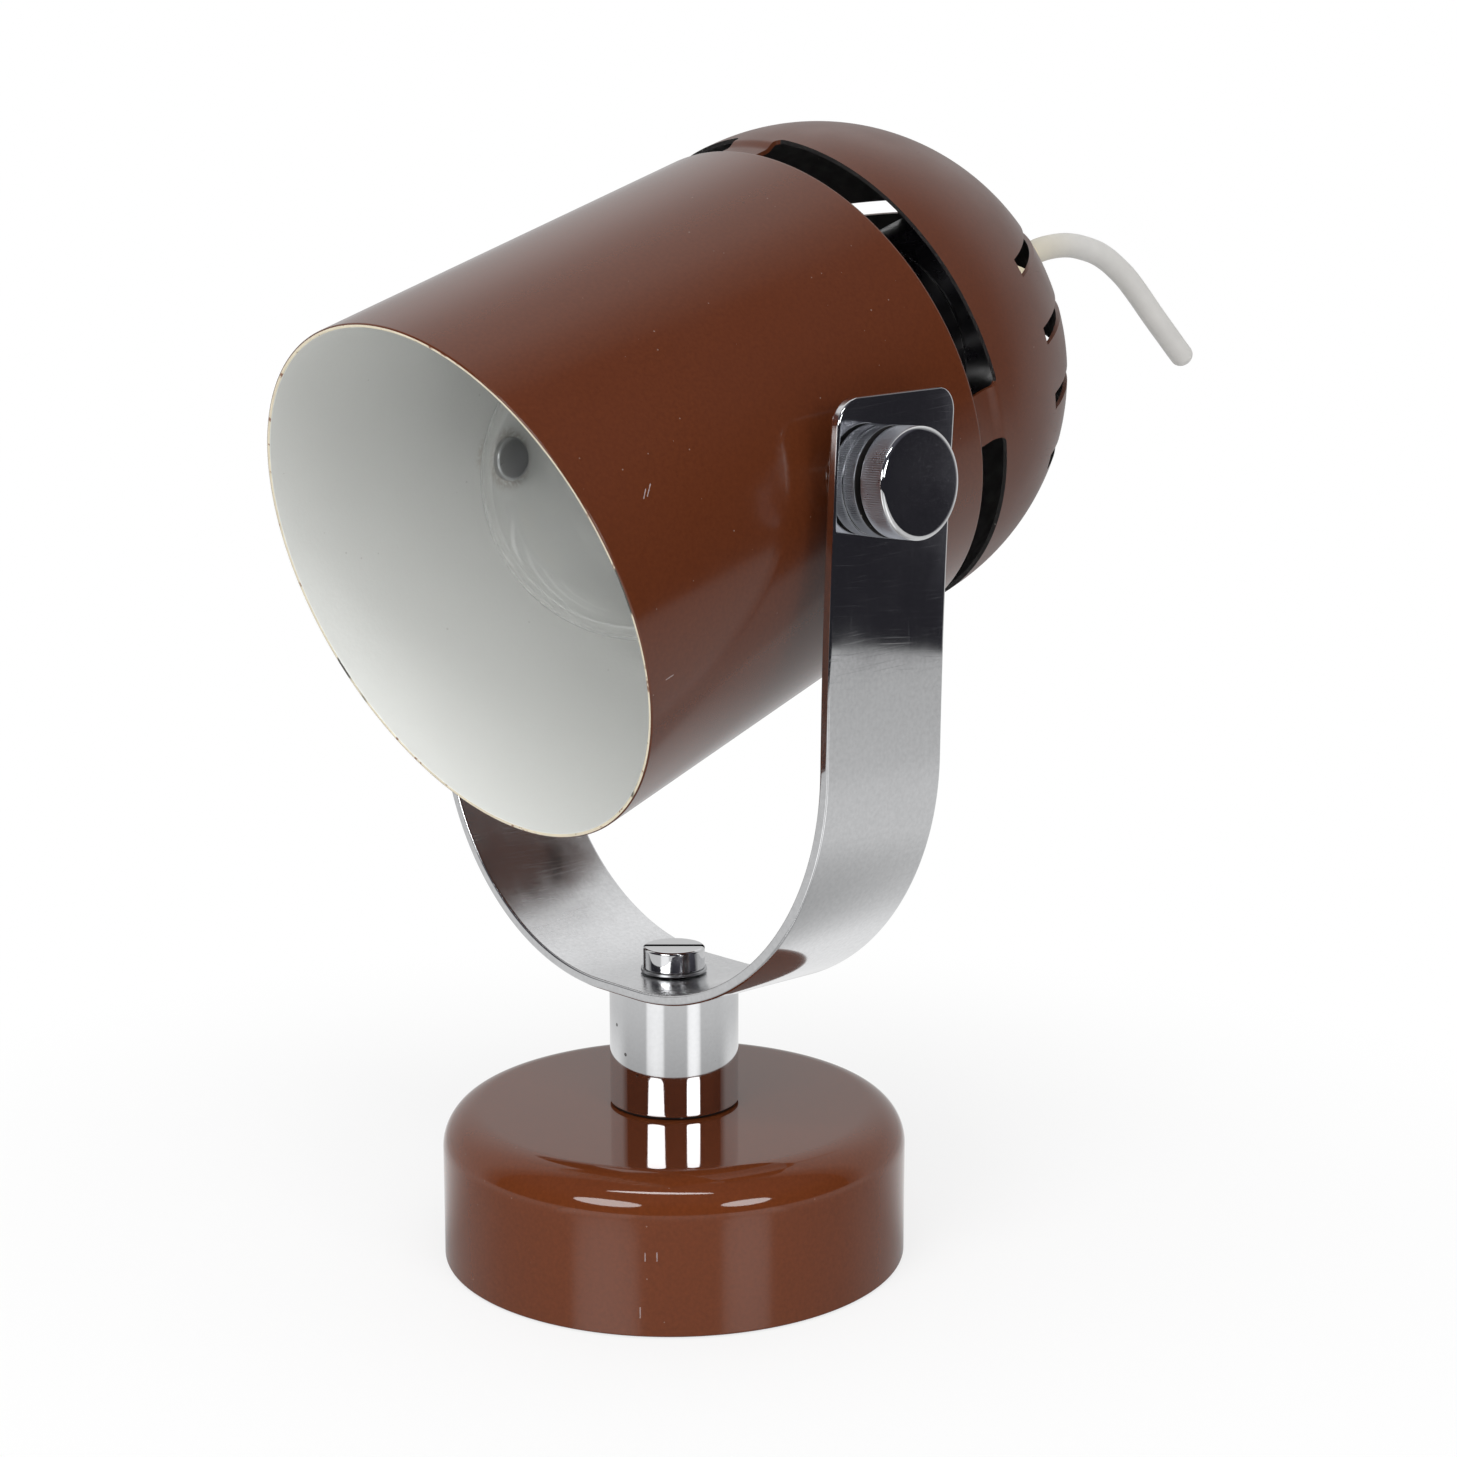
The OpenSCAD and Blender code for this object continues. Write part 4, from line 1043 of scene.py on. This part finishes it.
def dome_side(inset, steps):
    """One side of the sheet from the pole's hole to the tab's end, inset from the outside by a depth.

    It is a level seat, a circle about the equator's middle, a straight skirt, a smooth step of one sheet,
    whose share is t squared times 3 - 2 t, and the straight lap.
    """
    radius = DOME_R - inset
    lap_r = DOME_R - TUBE_SHEET - inset
    step_h = DOME_EDGE - inset / 2
    seat_h = POLE + inset
    seat_angle = -math.degrees(math.asin((EQUATOR - seat_h) / radius))
    ball = arc((0, EQUATOR), radius, seat_angle, 0, steps)
    t = np.linspace(0, 1, 9)[1:, None]
    joggle = np.hstack([radius + (lap_r - radius) * (t * t * (3 - 2 * t)), step_h + JOGGLE * t])
    return np.concatenate([
        shelf(NIPPLE_HOLE_R, ball[0, 0], seat_h, 3)[:-1], ball, wall(radius, EQUATOR, step_h, 4)[1:],
        joggle, wall(lap_r, step_h + JOGGLE, LAP_END, 4)[1:],
    ])


dome_section = np.concatenate([dome_side(0, 64), dome_side(TUBE_SHEET, 64)[::-1]])
dome = turned("dome", dome_section, HEAD, steps=300)
print(f"dome: radius {DOME_R / MM:.1f} mm, {AIR_GAP / MM:.1f} mm behind the tube")

# %% [markdown]
# Four windows between the tabs let the air pass. The dome was pushed into the tube a little askew, so the
# windows are cut a little deeper at the top and the bottom. The vents are sawn straight in from behind,
# four on each side of a plain band. Blocks carve both, because a saw and a punch do the same.

# %% Windows and vents
TAB_W, TAB_ROOT_R, TAB_COUNT = 10.0 * MM, 1.5 * MM, 4
DOME_TURN = -5.0
EDGE_TRIM, EDGE_DIP = 0.5 * MM, 1.2 * MM
VENT_PITCH, VENT_W, VENT_BAND, VENT_START = 13.0 * MM, 3.3 * MM, 22.0 * MM, 16.0 * MM
VENT_ROWS = 4
EDGE_STEPS = 59


def window(number):
    """The opening between two tabs, as a solid: an outline on the unrolled edge, with round corners.

    The outline's distance s along the edge becomes the angle s / radius, and the solid runs from well
    inside the sheet to well outside it. The low edge dips by EDGE_DIP times 1 - |cos angle|.
    """
    half = (2 * math.pi * DOME_R / TAB_COUNT - TAB_W) / 2
    far, low = LAP_END + 2 * MM, DOME_EDGE - EDGE_TRIM
    bent = rounded(
        [(-half, far), (-half, low), (half, low), (half, far)], [0, TAB_ROOT_R, TAB_ROOT_R, 0], hold=0,
    )
    split = int(np.argmax(bent[:, 0] > 0))
    low_edge = shelf(-half + TAB_ROOT_R, half - TAB_ROOT_R, low, EDGE_STEPS)[1:-1]
    far_edge = shelf(half, -half, far, EDGE_STEPS)[1:-1]
    outline = np.concatenate([bent[:split], low_edge, bent[split:], far_edge])
    angle = outline[:, 0] / DOME_R + math.radians(DOME_TURN) + (number + 0.5) * 2 * math.pi / TAB_COUNT
    radii = np.array([DOME_R - 3 * MM, DOME_R + 12 * MM])[:, None]
    dip = EDGE_DIP * (1 - np.abs(np.cos(angle))) * (outline[:, 1] < LAP_END)
    grid = np.stack([radii * np.cos(angle), radii * np.sin(angle), outline[:, 1] - dip + 0 * radii], -1)
    return skin(f"window_{number}", grid, HEAD, False, True, caps=True)


def vent(number, side):
    """A sawn slot: a block that enters the dome from behind on one side of the plain band."""
    reach = (EQUATOR - VENT_START - POLE) / 2 + 1 * MM
    x, y = side * (VENT_BAND / 2 + DOME_R / 2), (number - (VENT_ROWS - 1) / 2) * VENT_PITCH
    c, s = math.cos(math.radians(DOME_TURN)), math.sin(math.radians(DOME_TURN))
    centre = np.array([x * c - y * s, x * s + y * c, POLE + reach - 2 * MM])
    return slab(f"vent_{number}_{side}", centre, np.array([DOME_R / 2, VENT_W / 2, reach]), HEAD, DOME_TURN)


def dome_paint(r, h, out, up):
    """Lacquer outside, and near-black painted shade inside and on the edge cut towards the tube."""
    from_middle = np.minimum(h - EQUATOR, 0)
    facing = (out * r + up * from_middle) / np.maximum(np.hypot(r, from_middle), 1e-9)
    cut = (up > 0.8) & (h > EQUATOR)
    return cut | (facing < -0.2)


cutters = [window(number) for number in range(TAB_COUNT)]
cutters += [vent(number, side) for number in range(VENT_ROWS) for side in (-1, 1)]
carve(dome, cutters)
dress(dome, "head", [DOME_LACQUER, PAINTED_SHADE], ["rear_dome"], dome_paint, HEAD)

# %% [markdown]
# A thumb nut is turned from bar: two knurled bands, a groove between them, and a polished face with a
# soft rim. Its half section is drawn in order from the seat on the arm to the middle of the face.

# %% Section of the knob
BAND_END, GROOVE_END, GROOVE_DEPTH = 2.75 * MM, 4.05 * MM, 1.6 * MM
BAND_EASE = 0.22 * MM
RIM_W, RIM_H = 0.85 * MM, 0.6 * MM
SEAT_GAP = 0.04 * MM
KNOB_SEAT = ARM_OUTSIDE + SEAT_GAP
GROOVE_LOW, GROOVE_HIGH = KNOB_SEAT + BAND_END, KNOB_SEAT + GROOVE_END


def knob_profile(face, radius):
    """Half section of a thumb nut: seat, band, groove, band, and a rim that is a quarter of an ellipse."""
    edge_r, floor_r = radius - BAND_EASE, radius - GROOVE_DEPTH
    seat_h, low_h, high_h = KNOB_SEAT + BAND_EASE, GROOVE_LOW - BAND_EASE, GROOVE_HIGH + BAND_EASE
    quarter = np.linspace(0, math.pi / 2, 15)
    rim = np.column_stack([radius - RIM_W * (1 - np.cos(quarter)), face - RIM_H * (1 - np.sin(quarter))])
    return np.concatenate([
        [(0, KNOB_SEAT)], arc((edge_r, seat_h), BAND_EASE, -90, 0, 5),
        wall(radius, seat_h, low_h, 8), arc((edge_r, low_h), BAND_EASE, 0, 90, 5),
        [(floor_r, GROOVE_LOW), (floor_r, GROOVE_HIGH)], arc((edge_r, high_h), BAND_EASE, -90, 0, 5),
        wall(radius, high_h, face - RIM_H, 8), rim, [(radius - RIM_W - HOLD * RIM_H, face), (0, face)],
    ])


print(f"knob: groove from {BAND_END / MM:.2f} to {GROOVE_END / MM:.2f} mm off its seat")

# %% [markdown]
# The knurl is real geometry. It is a ripple on the radius, a cosine of the angle, faded out near the ends
# of each band, because a bump map would leave the outline smooth. The faces choose their plate by their
# height.

# %% Knurl and plate of the knob
KNURL_TEETH, KNURL_DEPTH, KNURL_FADE = 150, 0.12 * MM, 0.3 * MM
TOOTH_STEPS = 8
GROOVE_EDGE = 0.05 * MM


def make_knob(side, where):
    """One thumb nut on its stud, with its own face height and radius measured from the solid."""
    _, face, _, radius = measure(f"knob_{side}", where)
    bands = [(KNOB_SEAT + BAND_EASE, GROOVE_LOW - BAND_EASE), (GROOVE_HIGH + BAND_EASE, face - RIM_H)]

    def knurl(a, h, r):
        """Depth of the knurl: a cosine round the knob, faded out towards each band's ends."""
        fades = [np.clip((h - low) / KNURL_FADE, 0, 1) * np.clip((high - h) / KNURL_FADE, 0, 1)
                 for low, high in bands]
        return KNURL_DEPTH * sum(fades) * (0.5 - 0.5 * np.cos(KNURL_TEETH * a)) * (r > radius - BAND_EASE)

    def knob_paint(r, h, out, up):
        """Polished face and rim, knurled bands, and painted shade on the inner band and in the groove."""
        in_groove = (h > GROOVE_LOW - GROOVE_EDGE) & (h < GROOVE_HIGH + GROOVE_EDGE)
        banded = (out > 0.6) & (h < face - RIM_H)
        return np.select([in_groove, banded & (h < GROOVE_LOW), banded], [2, 3, 1], 0)

    profile = knob_profile(face, radius)
    steps = KNURL_TEETH * TOOTH_STEPS
    knob = turned(f"knob_{side}_nut", profile, where, closed=False, steps=steps, ripple=knurl)
    finish = [KNOB_PLATE, KNURL, PAINTED_SHADE, SHADED_KNURL]
    dress(knob, f"knob_{side}", finish, [f"knob_{side}"], knob_paint, where)


print(f"knurl: {KNURL_TEETH} teeth of {KNURL_DEPTH / MM:.2f} mm")

# %% [markdown]
# Between the tube and each arm a chromed ring keeps the distance, and a headed stud goes through the
# tube's wall, the ring and the arm into the knob. The rings reach to the leaning arm, so that no light
# shows between them. Both ends of the tilt axis are then made alike, each from its own place.

# %% Spacers and studs
SPACER_EASE = 0.25 * MM
SHANK_R, STUD_HEAD_H = 2.5 * MM, 2.4 * MM
STUD_EASES = np.array([0, 0.8, 0.15, 0, 0.3, 0]) * MM


def make_spacer(side, where):
    """A ring with eased edges, from the tube's wall to the arm."""
    low, _, bore, outside = measure(f"spacer_{side}", where)
    high = ARM_INSIDE - SEAT_GAP
    ring_section = rounded([(bore, low), (outside, low), (outside, high), (bore, high)], SPACER_EASE)
    spacer = turned(f"spacer_{side}_ring", ring_section, where, steps=96)
    dress(spacer, "head", [STEM_PLATE], [f"spacer_{side}"])


def make_stud(side, where):
    """A headed pin: a low head inside the tube, and a shank that ends in the knob."""
    tail, tip, _, head_r = measure(f"pivot_stud_{side}", where)
    shoulder = tail + STUD_HEAD_H
    stud_section = rounded(
        [(0, tail), (head_r, tail), (head_r, shoulder), (SHANK_R, shoulder), (SHANK_R, tip), (0, tip)],
        STUD_EASES,
    )
    stud = turned(f"stud_{side}", stud_section, where, closed=False, steps=96)
    dress(stud, "head", [ZINC], [f"pivot_stud_{side}"])


for side, where in SIDES.items():
    make_knob(side, where)
    make_spacer(side, where)
    make_stud(side, where)

# %% [markdown]
# Inside the dome sits a two-part moulded lamp holder. Both parts are spun. The holder shows through the
# gap and the vents, so its edges get proper radii, its joint a shadow line and its skirt three turned
# grooves.

# %% Lamp holder
CAP_BACK, CAP_FRONT, _, HOLDER_R = measure("holder_cap", HEAD)
SKIRT_BACK, SKIRT_FRONT, SKIRT_IN_R, _ = measure("holder_skirt", HEAD)
HOLDER_WALL, CAP_FLOOR_T = 2.5 * MM, 4.4 * MM
ENTRY_R, CAP_SEAT_R = 5.0 * MM, 7.5 * MM
FIT_GAP = 0.05 * MM
GROOVES = CAP_FRONT + np.array([5.0, 7.5, 10.0]) * MM
GROOVE_HALF, SKIRT_GROOVE, WALL_NEAR = 0.5 * MM, 0.35 * MM, 0.1 * MM
cap_inner = HOLDER_R - HOLDER_WALL
cap_floor = CAP_BACK + CAP_FLOOR_T
cap_section = rounded(
    [(ENTRY_R, CAP_BACK), (CAP_SEAT_R, CAP_BACK), (cap_inner, cap_floor - HOLDER_WALL / 2),
     (HOLDER_R, cap_floor + HOLDER_WALL), (HOLDER_R, CAP_FRONT), (cap_inner, CAP_FRONT),
     (cap_inner, cap_floor), (ENTRY_R, cap_floor)],
    np.array([0.2, 0.8, 3.0, 1.2, 0.5, 0.2, 0.3, 0.2]) * MM,
)
holder_back = turned("holder_back", cap_section, HEAD, steps=160)
dress(holder_back, "head", [BLACK], ["holder_cap"])
spigot_r = cap_inner - FIT_GAP
skirt_outline = rounded(
    [(SKIRT_IN_R, SKIRT_BACK), (spigot_r, SKIRT_BACK), (spigot_r, CAP_FRONT),
     (HOLDER_R, CAP_FRONT), (HOLDER_R, SKIRT_FRONT), (SKIRT_IN_R, SKIRT_FRONT)],
    np.array([0.2, 0.3, 0.1, 0.5, 1.25, 0.5]) * MM,
)


def skirt_rings(a, h, r):
    """Shallow grooves round the skirt: the depth is 1 minus the square of the way from a middle."""
    bell = sum(np.clip(1 - ((h - middle) / GROOVE_HALF) ** 2, 0, 1) for middle in GROOVES)
    return SKIRT_GROOVE * bell * (r > HOLDER_R - WALL_NEAR)


on_wall = (skirt_outline[:, 0] > HOLDER_R - 1e-9) & (skirt_outline[:, 1] > CAP_FRONT + 2 * MM)
split = int(np.argmax(on_wall))
fine_wall = wall(HOLDER_R, CAP_FRONT + 3 * MM, CAP_FRONT + 12 * MM, 59)
skirt_section = np.concatenate([skirt_outline[:split], fine_wall, skirt_outline[split:]])
holder_front = turned("holder_front", skirt_section, HEAD, steps=160, ripple=skirt_rings)
dress(holder_front, "head", [BLACK], ["holder_skirt"])

# %% [markdown]
# Behind the dome a nylon grip holds the lead: a flange against the seat and a sleeve that tapers towards
# the cord. It is one spun section with a bore that just clears the sheath.

# %% Grip
FLANGE_H, GRIP_ROOT_R, TAPER_START = 3.5 * MM, 6.3 * MM, 2 * MM
GRIP_WALL = 0.9 * MM
GRIP_EASES = np.array([0.15, 0.6, 1.5, 0.6, 0.7, 0.2, 0.1]) * MM
bore_r = CORD_D / 2 + FIT_GAP
flange_back = GRIP_FRONT - FLANGE_H
grip_section = rounded(
    [(bore_r, GRIP_END), (CORD_D / 2 + GRIP_WALL, GRIP_END), (GRIP_ROOT_R, flange_back - TAPER_START),
     (GRIP_ROOT_R, flange_back), (GRIP_R, flange_back), (GRIP_R, GRIP_FRONT), (bore_r, GRIP_FRONT)],
    GRIP_EASES,
)
grip = turned("lead_grip", grip_section, HEAD, steps=128)
dress(grip, "head", [NYLON], ["cord_grip"])

# %% [markdown]
# The bulb is blown: a globe that sweeps into a neck. Its wall is a fraction of a millimetre, and glass
# only looks thin if it has both faces, so the section runs down the outside and back up the inside.

# %% Bulb glass
GLASS_LOW, GLASS_TOP, _, BULB_R = measure("bulb_glass", HEAD)
CAP_RIM = measure("bulb_cap", HEAD)[1]
NECK_R, SWEEP_R, GLASS_T = 12.8 * MM, 45.0 * MM, 0.45 * MM
NECK_H = CAP_RIM + 1.0 * MM
GLOBE_H = GLASS_TOP - BULB_R


def bulb_side(inset):
    """Pole to neck: the globe's circle, the sweep's circle that touches it, and the straight neck."""
    touch = math.degrees(math.atan2(NECK_H - GLOBE_H, NECK_R + SWEEP_R))
    globe = arc((0, GLOBE_H), BULB_R - inset, 90, touch, 72)
    sweep = arc((NECK_R + SWEEP_R, NECK_H), SWEEP_R + inset, 180 + touch, 180, 28)
    neck = np.array([[NECK_R - inset, GLASS_LOW]])
    return np.concatenate([globe, sweep[1:], neck])


glass_section = np.concatenate([bulb_side(0), bulb_side(GLASS_T)[::-1]])
bulb = turned("bulb", glass_section, HEAD, closed=False, steps=160)
dress(bulb, "bulb", [GLASS], ["bulb_glass"])

# %% [markdown]
# A glass mount rises from the neck: a flared foot, a tube that was pinched while it was soft, and a round
# button at the end. A spun section with generous radii has the same look.

# %% Bulb mount
MOUNT_R, ROD_R, BUTTON_R = 5.0 * MM, 2.0 * MM, 2.5 * MM
MOUNT_EASES = np.array([0, 0.4, 5, 1.5, 2.5, 0, 0]) * MM
STEM_LOW, STEM_HIGH, _, _ = measure("bulb_stem", HEAD)
button_h = STEM_HIGH - BUTTON_R
rod_end = button_h - 1.2 * BUTTON_R
mount_section = rounded(
    [(0, STEM_LOW), (NECK_R - GLASS_T, STEM_LOW), (MOUNT_R, STEM_LOW + MOUNT_R),
     (MOUNT_R, button_h - 2 * MOUNT_R), (ROD_R, button_h - 1.6 * MOUNT_R), (ROD_R, rod_end), (0, rod_end)],
    MOUNT_EASES,
)[:-1]
button = arc((0, button_h), BUTTON_R, -53, 90, 16)
mount = turned("bulb_mount", np.concatenate([mount_section, button]), HEAD, closed=False, steps=64)
dress(mount, "bulb", [GLASS], ["bulb_stem"])

# %% [markdown]
# The filament is tungsten wire wound into a fine coil and hung in a bow between the supports. So its path
# is a helix about a half circle, and a small ring is carried along it.

# %% Filament
COIL_TURNS, COIL_R, COIL_WIRE = 46, 0.28 * MM, 0.07 * MM
FILAMENT_LOW, FILAMENT_HIGH, _, FILAMENT_OUT = measure("filament", HEAD)
filament_h = (FILAMENT_LOW + FILAMENT_HIGH) / 2
bow_r = FILAMENT_OUT - (FILAMENT_HIGH - FILAMENT_LOW) / 2
share = np.linspace(0, 1, COIL_TURNS * 14)
bow = np.stack([np.cos(math.pi * share), np.sin(math.pi * share), 0 * share], -1)
phase = 2 * math.pi * COIL_TURNS * share[:, None]
upright = np.array([0, 0, 1])
coil_path = bow * (bow_r + COIL_R * np.cos(phase)) + upright * (filament_h + COIL_R * np.sin(phase))
coil_grid = swept(coil_path, ring(7, COIL_WIRE), (0.0, 0.0, 1.0))
coil = skin("filament_coil", coil_grid, HEAD, False, True, caps=True)
dress(coil, "bulb", [TUNGSTEN], ["filament"])

# %% [markdown]
# The rest of the construction hides behind these pieces or shows only from below. Those solids have the
# right shape already, so they stay as they are and only get a worked material in place of a flat colour.

# %% Finishes for the solids that stay
STAYING = {
    "wall_bracket": ZINC, "bracket_nut": ZINC, "holder_core": CERAMIC, "thread_shell": BRASS,
    "centre_contact": BRASS, "terminal_screws": BRASS, "entry_nipple": BRASS, "tooth_washer": ZINC,
    "lead_wires": WIRE_SHEATH, "bulb_cap": BRASS, "bulb_insulator": BLACK, "bulb_contact": SOLDER,
    "filament_supports": TUNGSTEN,
}
for node, material in STAYING.items():
    frame["nodes"][node].data.materials.clear()
    frame["nodes"][node].data.materials.append(material)
print("solids that stay:", ", ".join(STAYING))

# %% [markdown]
# Chrome and gloss are only as good as the room that they reflect. Here the room is dark, with three soft
# lamps near the camera that draw the strips of light on the lacquer. Two more lamps only fill: they light
# matt paint, and mirrors don't see them. A lamp is given by angles from the camera, because that is how a
# strip is aimed.

# %% Lamps
LAMP_DISTANCE = 0.9
LAMP_AIM = Vector((0, 0, 0.025))
LAMPS = {
    "left": dict(azimuth=-31.5, elevation=23.0, width=31.0, height=16.0, glow=8.2),
    "right": dict(azimuth=35.5, elevation=19.5, width=23.0, height=14.0, glow=8.2),
    "top": dict(azimuth=-8.0, elevation=57.0, width=40.0, height=5.0, glow=12.0),
    "fill": dict(azimuth=5.0, elevation=48.0, width=50.0, height=40.0, glow=1.55),
    "mouth": dict(azimuth=-42.0, elevation=6.0, width=24.0, height=22.0, glow=1.9),
}
FILL_LAMPS = ("fill", "mouth")


def lamp_span(angle):
    """The width that fills an angle in degrees at the lamps' distance: 2 d tan(half the angle)."""
    return 2 * LAMP_DISTANCE * math.tan(math.radians(angle / 2))


def make_lamp(name, azimuth, elevation, width, height, glow):
    """An elliptic lamp: its power is glow times pi, for light sent all ways, times its area pi / 4 w h."""
    light = bpy.data.objects.new(f"lamp_{name}", bpy.data.lights.new(f"lamp_{name}", "AREA"))
    bpy.context.scene.collection.objects.link(light)
    light.data.shape = "ELLIPSE"
    light.data.size, light.data.size_y = lamp_span(width), lamp_span(height)
    light.data.energy = glow * math.pi * math.pi / 4 * lamp_span(width) * lamp_span(height)
    aim = direction(CAMERA_AZIMUTH + azimuth, elevation)
    light.location = LAMP_AIM + aim * LAMP_DISTANCE
    light.rotation_mode = "QUATERNION"
    light.rotation_quaternion = aim.to_track_quat("Z", "Y")
    light.visible_camera = False
    light.visible_glossy = name not in FILL_LAMPS


for name, lamp in LAMPS.items():
    make_lamp(name, **lamp)
print("lamps:", ", ".join(LAMPS))

# %% [markdown]
# The wall spot stands on a pale round table, and mirrors show most of it. To them it is a top with
# painted light and shade: a painted shadow that dims it towards the stand, a painted glow behind it,
# and a painted reflection, a dull streak, under each of the two side lamps. All of this depends only on
# the distance from the middle and on the level direction.

# %% Table in the mirrors
TABLE_R = 0.876
TABLE_FADE = 0.984
STREAK_HALF = {"left": 15.0, "right": 11.0}
STREAK_SOFT = 3.0
AWAY = -direction(CAMERA_AZIMUTH, 0)


def table_glow(tree, reach, aim):
    """How bright mirrors see the top, from the distance to its middle and the level direction."""
    near = ramp(tree, reach, 0.085, 0.20, 0.38, 0.66)
    far = ramp(tree, reach, 0.25, 0.85, 1.0, 0.78)
    behind = vector_math(tree, "DOT_PRODUCT", aim, tuple(AWAY))
    back_lit = ramp(tree, behind, -0.1, 0.5, 1.0, ramp(tree, reach, 0.09, 0.18, 2.1, 1.0))
    streaks = []
    for name, half in STREAK_HALF.items():
        lamp_way = direction(CAMERA_AZIMUTH + LAMPS[name]["azimuth"], 0)
        facing = vector_math(tree, "DOT_PRODUCT", aim, tuple(lamp_way))
        outer, inner = (math.cos(math.radians(half + soft)) for soft in (STREAK_SOFT, -STREAK_SOFT))
        streaks.append(ramp(tree, facing, outer, inner))
    shown = ramp(tree, reach, 0.09, 0.15, 0.0, 0.40)
    streak = math_node(tree, "MULTIPLY", math_node(tree, "MAXIMUM", *streaks), shown)
    plain = math_node(tree, "MULTIPLY", math_node(tree, "MULTIPLY", near, far), back_lit)
    edge_fade = ramp(tree, reach, TABLE_R * TABLE_FADE, TABLE_R, 1.0, 0.05)
    return math_node(tree, "MULTIPLY", math_node(tree, "ADD", plain, streak), edge_fade)


print("streaks under the lamps:", ", ".join(STREAK_HALF))

# %% [markdown]
# The camera sees the table as plain white with a soft shadow. The light path node tells the kinds of rays
# apart, so one material can be white paper to the camera and the pale top to a mirror.

# %% Table
TABLE_T = 4 * MM
TABLE_DROP = 0.3 * MM
PAPER = (0.84, 0.84, 0.84, 1)


def light_path(tree, *names):
    """One where a ray is of any of the named kinds."""
    path = tree.nodes.new("ShaderNodeLightPath")
    total = path.outputs[names[0]]
    for name in names[1:]:
        total = math_node(tree, "MAXIMUM", total, path.outputs[name])
    return total


def make_table():
    """White to the camera with the shadow kept, and to mirrors a pale top with a dull shine."""
    material = bpy.data.materials.new("table_white")
    material.use_nodes = True
    tree = material.node_tree
    tree.nodes.clear()
    level = vector_math(tree, "MULTIPLY", object_spot(tree), (1, 1, 0))
    reach = vector_math(tree, "LENGTH", level)
    glow = table_glow(tree, reach, vector_math(tree, "NORMALIZE", level))
    lit = add(tree, "ShaderNodeEmission", {"Strength": glow})
    shine = ramp(tree, reach, 0.08, 0.16, 0.13, 0.06)
    sheen = add(tree, "ShaderNodeBsdfGlossy", {"Color": shine, "Roughness": 0.22})
    mirrored = add(tree, "ShaderNodeAddShader", {0: lit.outputs[0], 1: sheen.outputs[0]})
    white = add(tree, "ShaderNodeEmission", {"Strength": 1.0})
    paper = add(tree, "ShaderNodeBsdfDiffuse", {"Color": PAPER})
    seen = light_path(tree, "Is Camera Ray", "Is Transmission Ray")
    lift = math_node(tree, "MULTIPLY", ramp(tree, reach, 0.06, 0.24, 0.72, 1.0), seen)
    plain = add(tree, "ShaderNodeMixShader", {0: lift, 1: paper.outputs[0], 2: white.outputs[0]})
    glossy = light_path(tree, "Is Glossy Ray")
    whole = add(tree, "ShaderNodeMixShader", {0: glossy, 1: plain.outputs[0], 2: mirrored.outputs[0]})
    add(tree, "ShaderNodeOutputMaterial", {"Surface": whole.outputs[0]})
    return material


table_section = np.array([[0, 0], [TABLE_R, 0], [TABLE_R, -TABLE_T], [0, -TABLE_T]]) - (0, TABLE_DROP)
table = turned("table", table_section, STAND, closed=False, steps=128)
table.data.materials.append(make_table())
print(f"table: {2 * TABLE_R:.2f} m across")

# %% [markdown]
# Behind the table hangs a bright curved backdrop, and the rest of the room is nearly dark. Both are
# painted into the world by direction, so no mesh is needed. The camera sees plain white, matt surfaces
# get an even soft light, and mirrors see the backdrop with its dim surroundings.

# %% Studio world
DIM_BLUE = (0.83, 0.81, 1.0, 1)
PLAIN_WHITE = (1, 1, 1, 1)
SOFT_LIGHT = 0.50


def make_studio(sky):
    """Brightness by direction: a backdrop with a crown, a dim ceiling, and soft light for matt surfaces."""
    way = add(sky, "ShaderNodeTexCoord").outputs["Generated"]
    height = add(sky, "ShaderNodeSeparateXYZ", {"Vector": way}).outputs["Z"]
    behind = vector_math(sky, "DOT_PRODUCT", way, tuple(AWAY))
    hem, fold = ramp(sky, behind, 0.030, 0.046, 0.0, 0.18), ramp(sky, behind, 0.04, 0.32, 0.0, 0.46)
    high_up = ramp(sky, height, 0.25, 0.75, 0.0, 0.25)
    crown = math_node(sky, "MULTIPLY", ramp(sky, behind, 0.30, 0.80), high_up)
    backdrop = math_node(sky, "ADD", math_node(sky, "ADD", hem, fold), crown)
    room = math_node(sky, "ADD", ramp(sky, height, 0.20, 0.75, 0.025, 0.11), backdrop)
    soft = math_node(sky, "MULTIPLY", light_path(sky, "Is Diffuse Ray"), SOFT_LIGHT)
    tent = math_node(sky, "MAXIMUM", room, soft)
    seen = light_path(sky, "Is Camera Ray", "Is Transmission Ray")
    strength = add(sky, "ShaderNodeMix", {0: seen, 2: tent, 3: 1.0}, data_type="FLOAT").outputs[0]
    tint = mixed(sky, ramp(sky, strength, 0.05, 0.3), DIM_BLUE, PLAIN_WHITE)
    backing = add(sky, "ShaderNodeBackground", {"Color": tint, "Strength": strength})
    add(sky, "ShaderNodeOutputWorld", {"Surface": backing.outputs[0]})


world = bpy.data.worlds.new("studio")
bpy.context.scene.world = world
world.use_nodes = True
world.node_tree.nodes.clear()
make_studio(world.node_tree)
print("world:", len(world.node_tree.nodes), "nodes for the backdrop and the room")
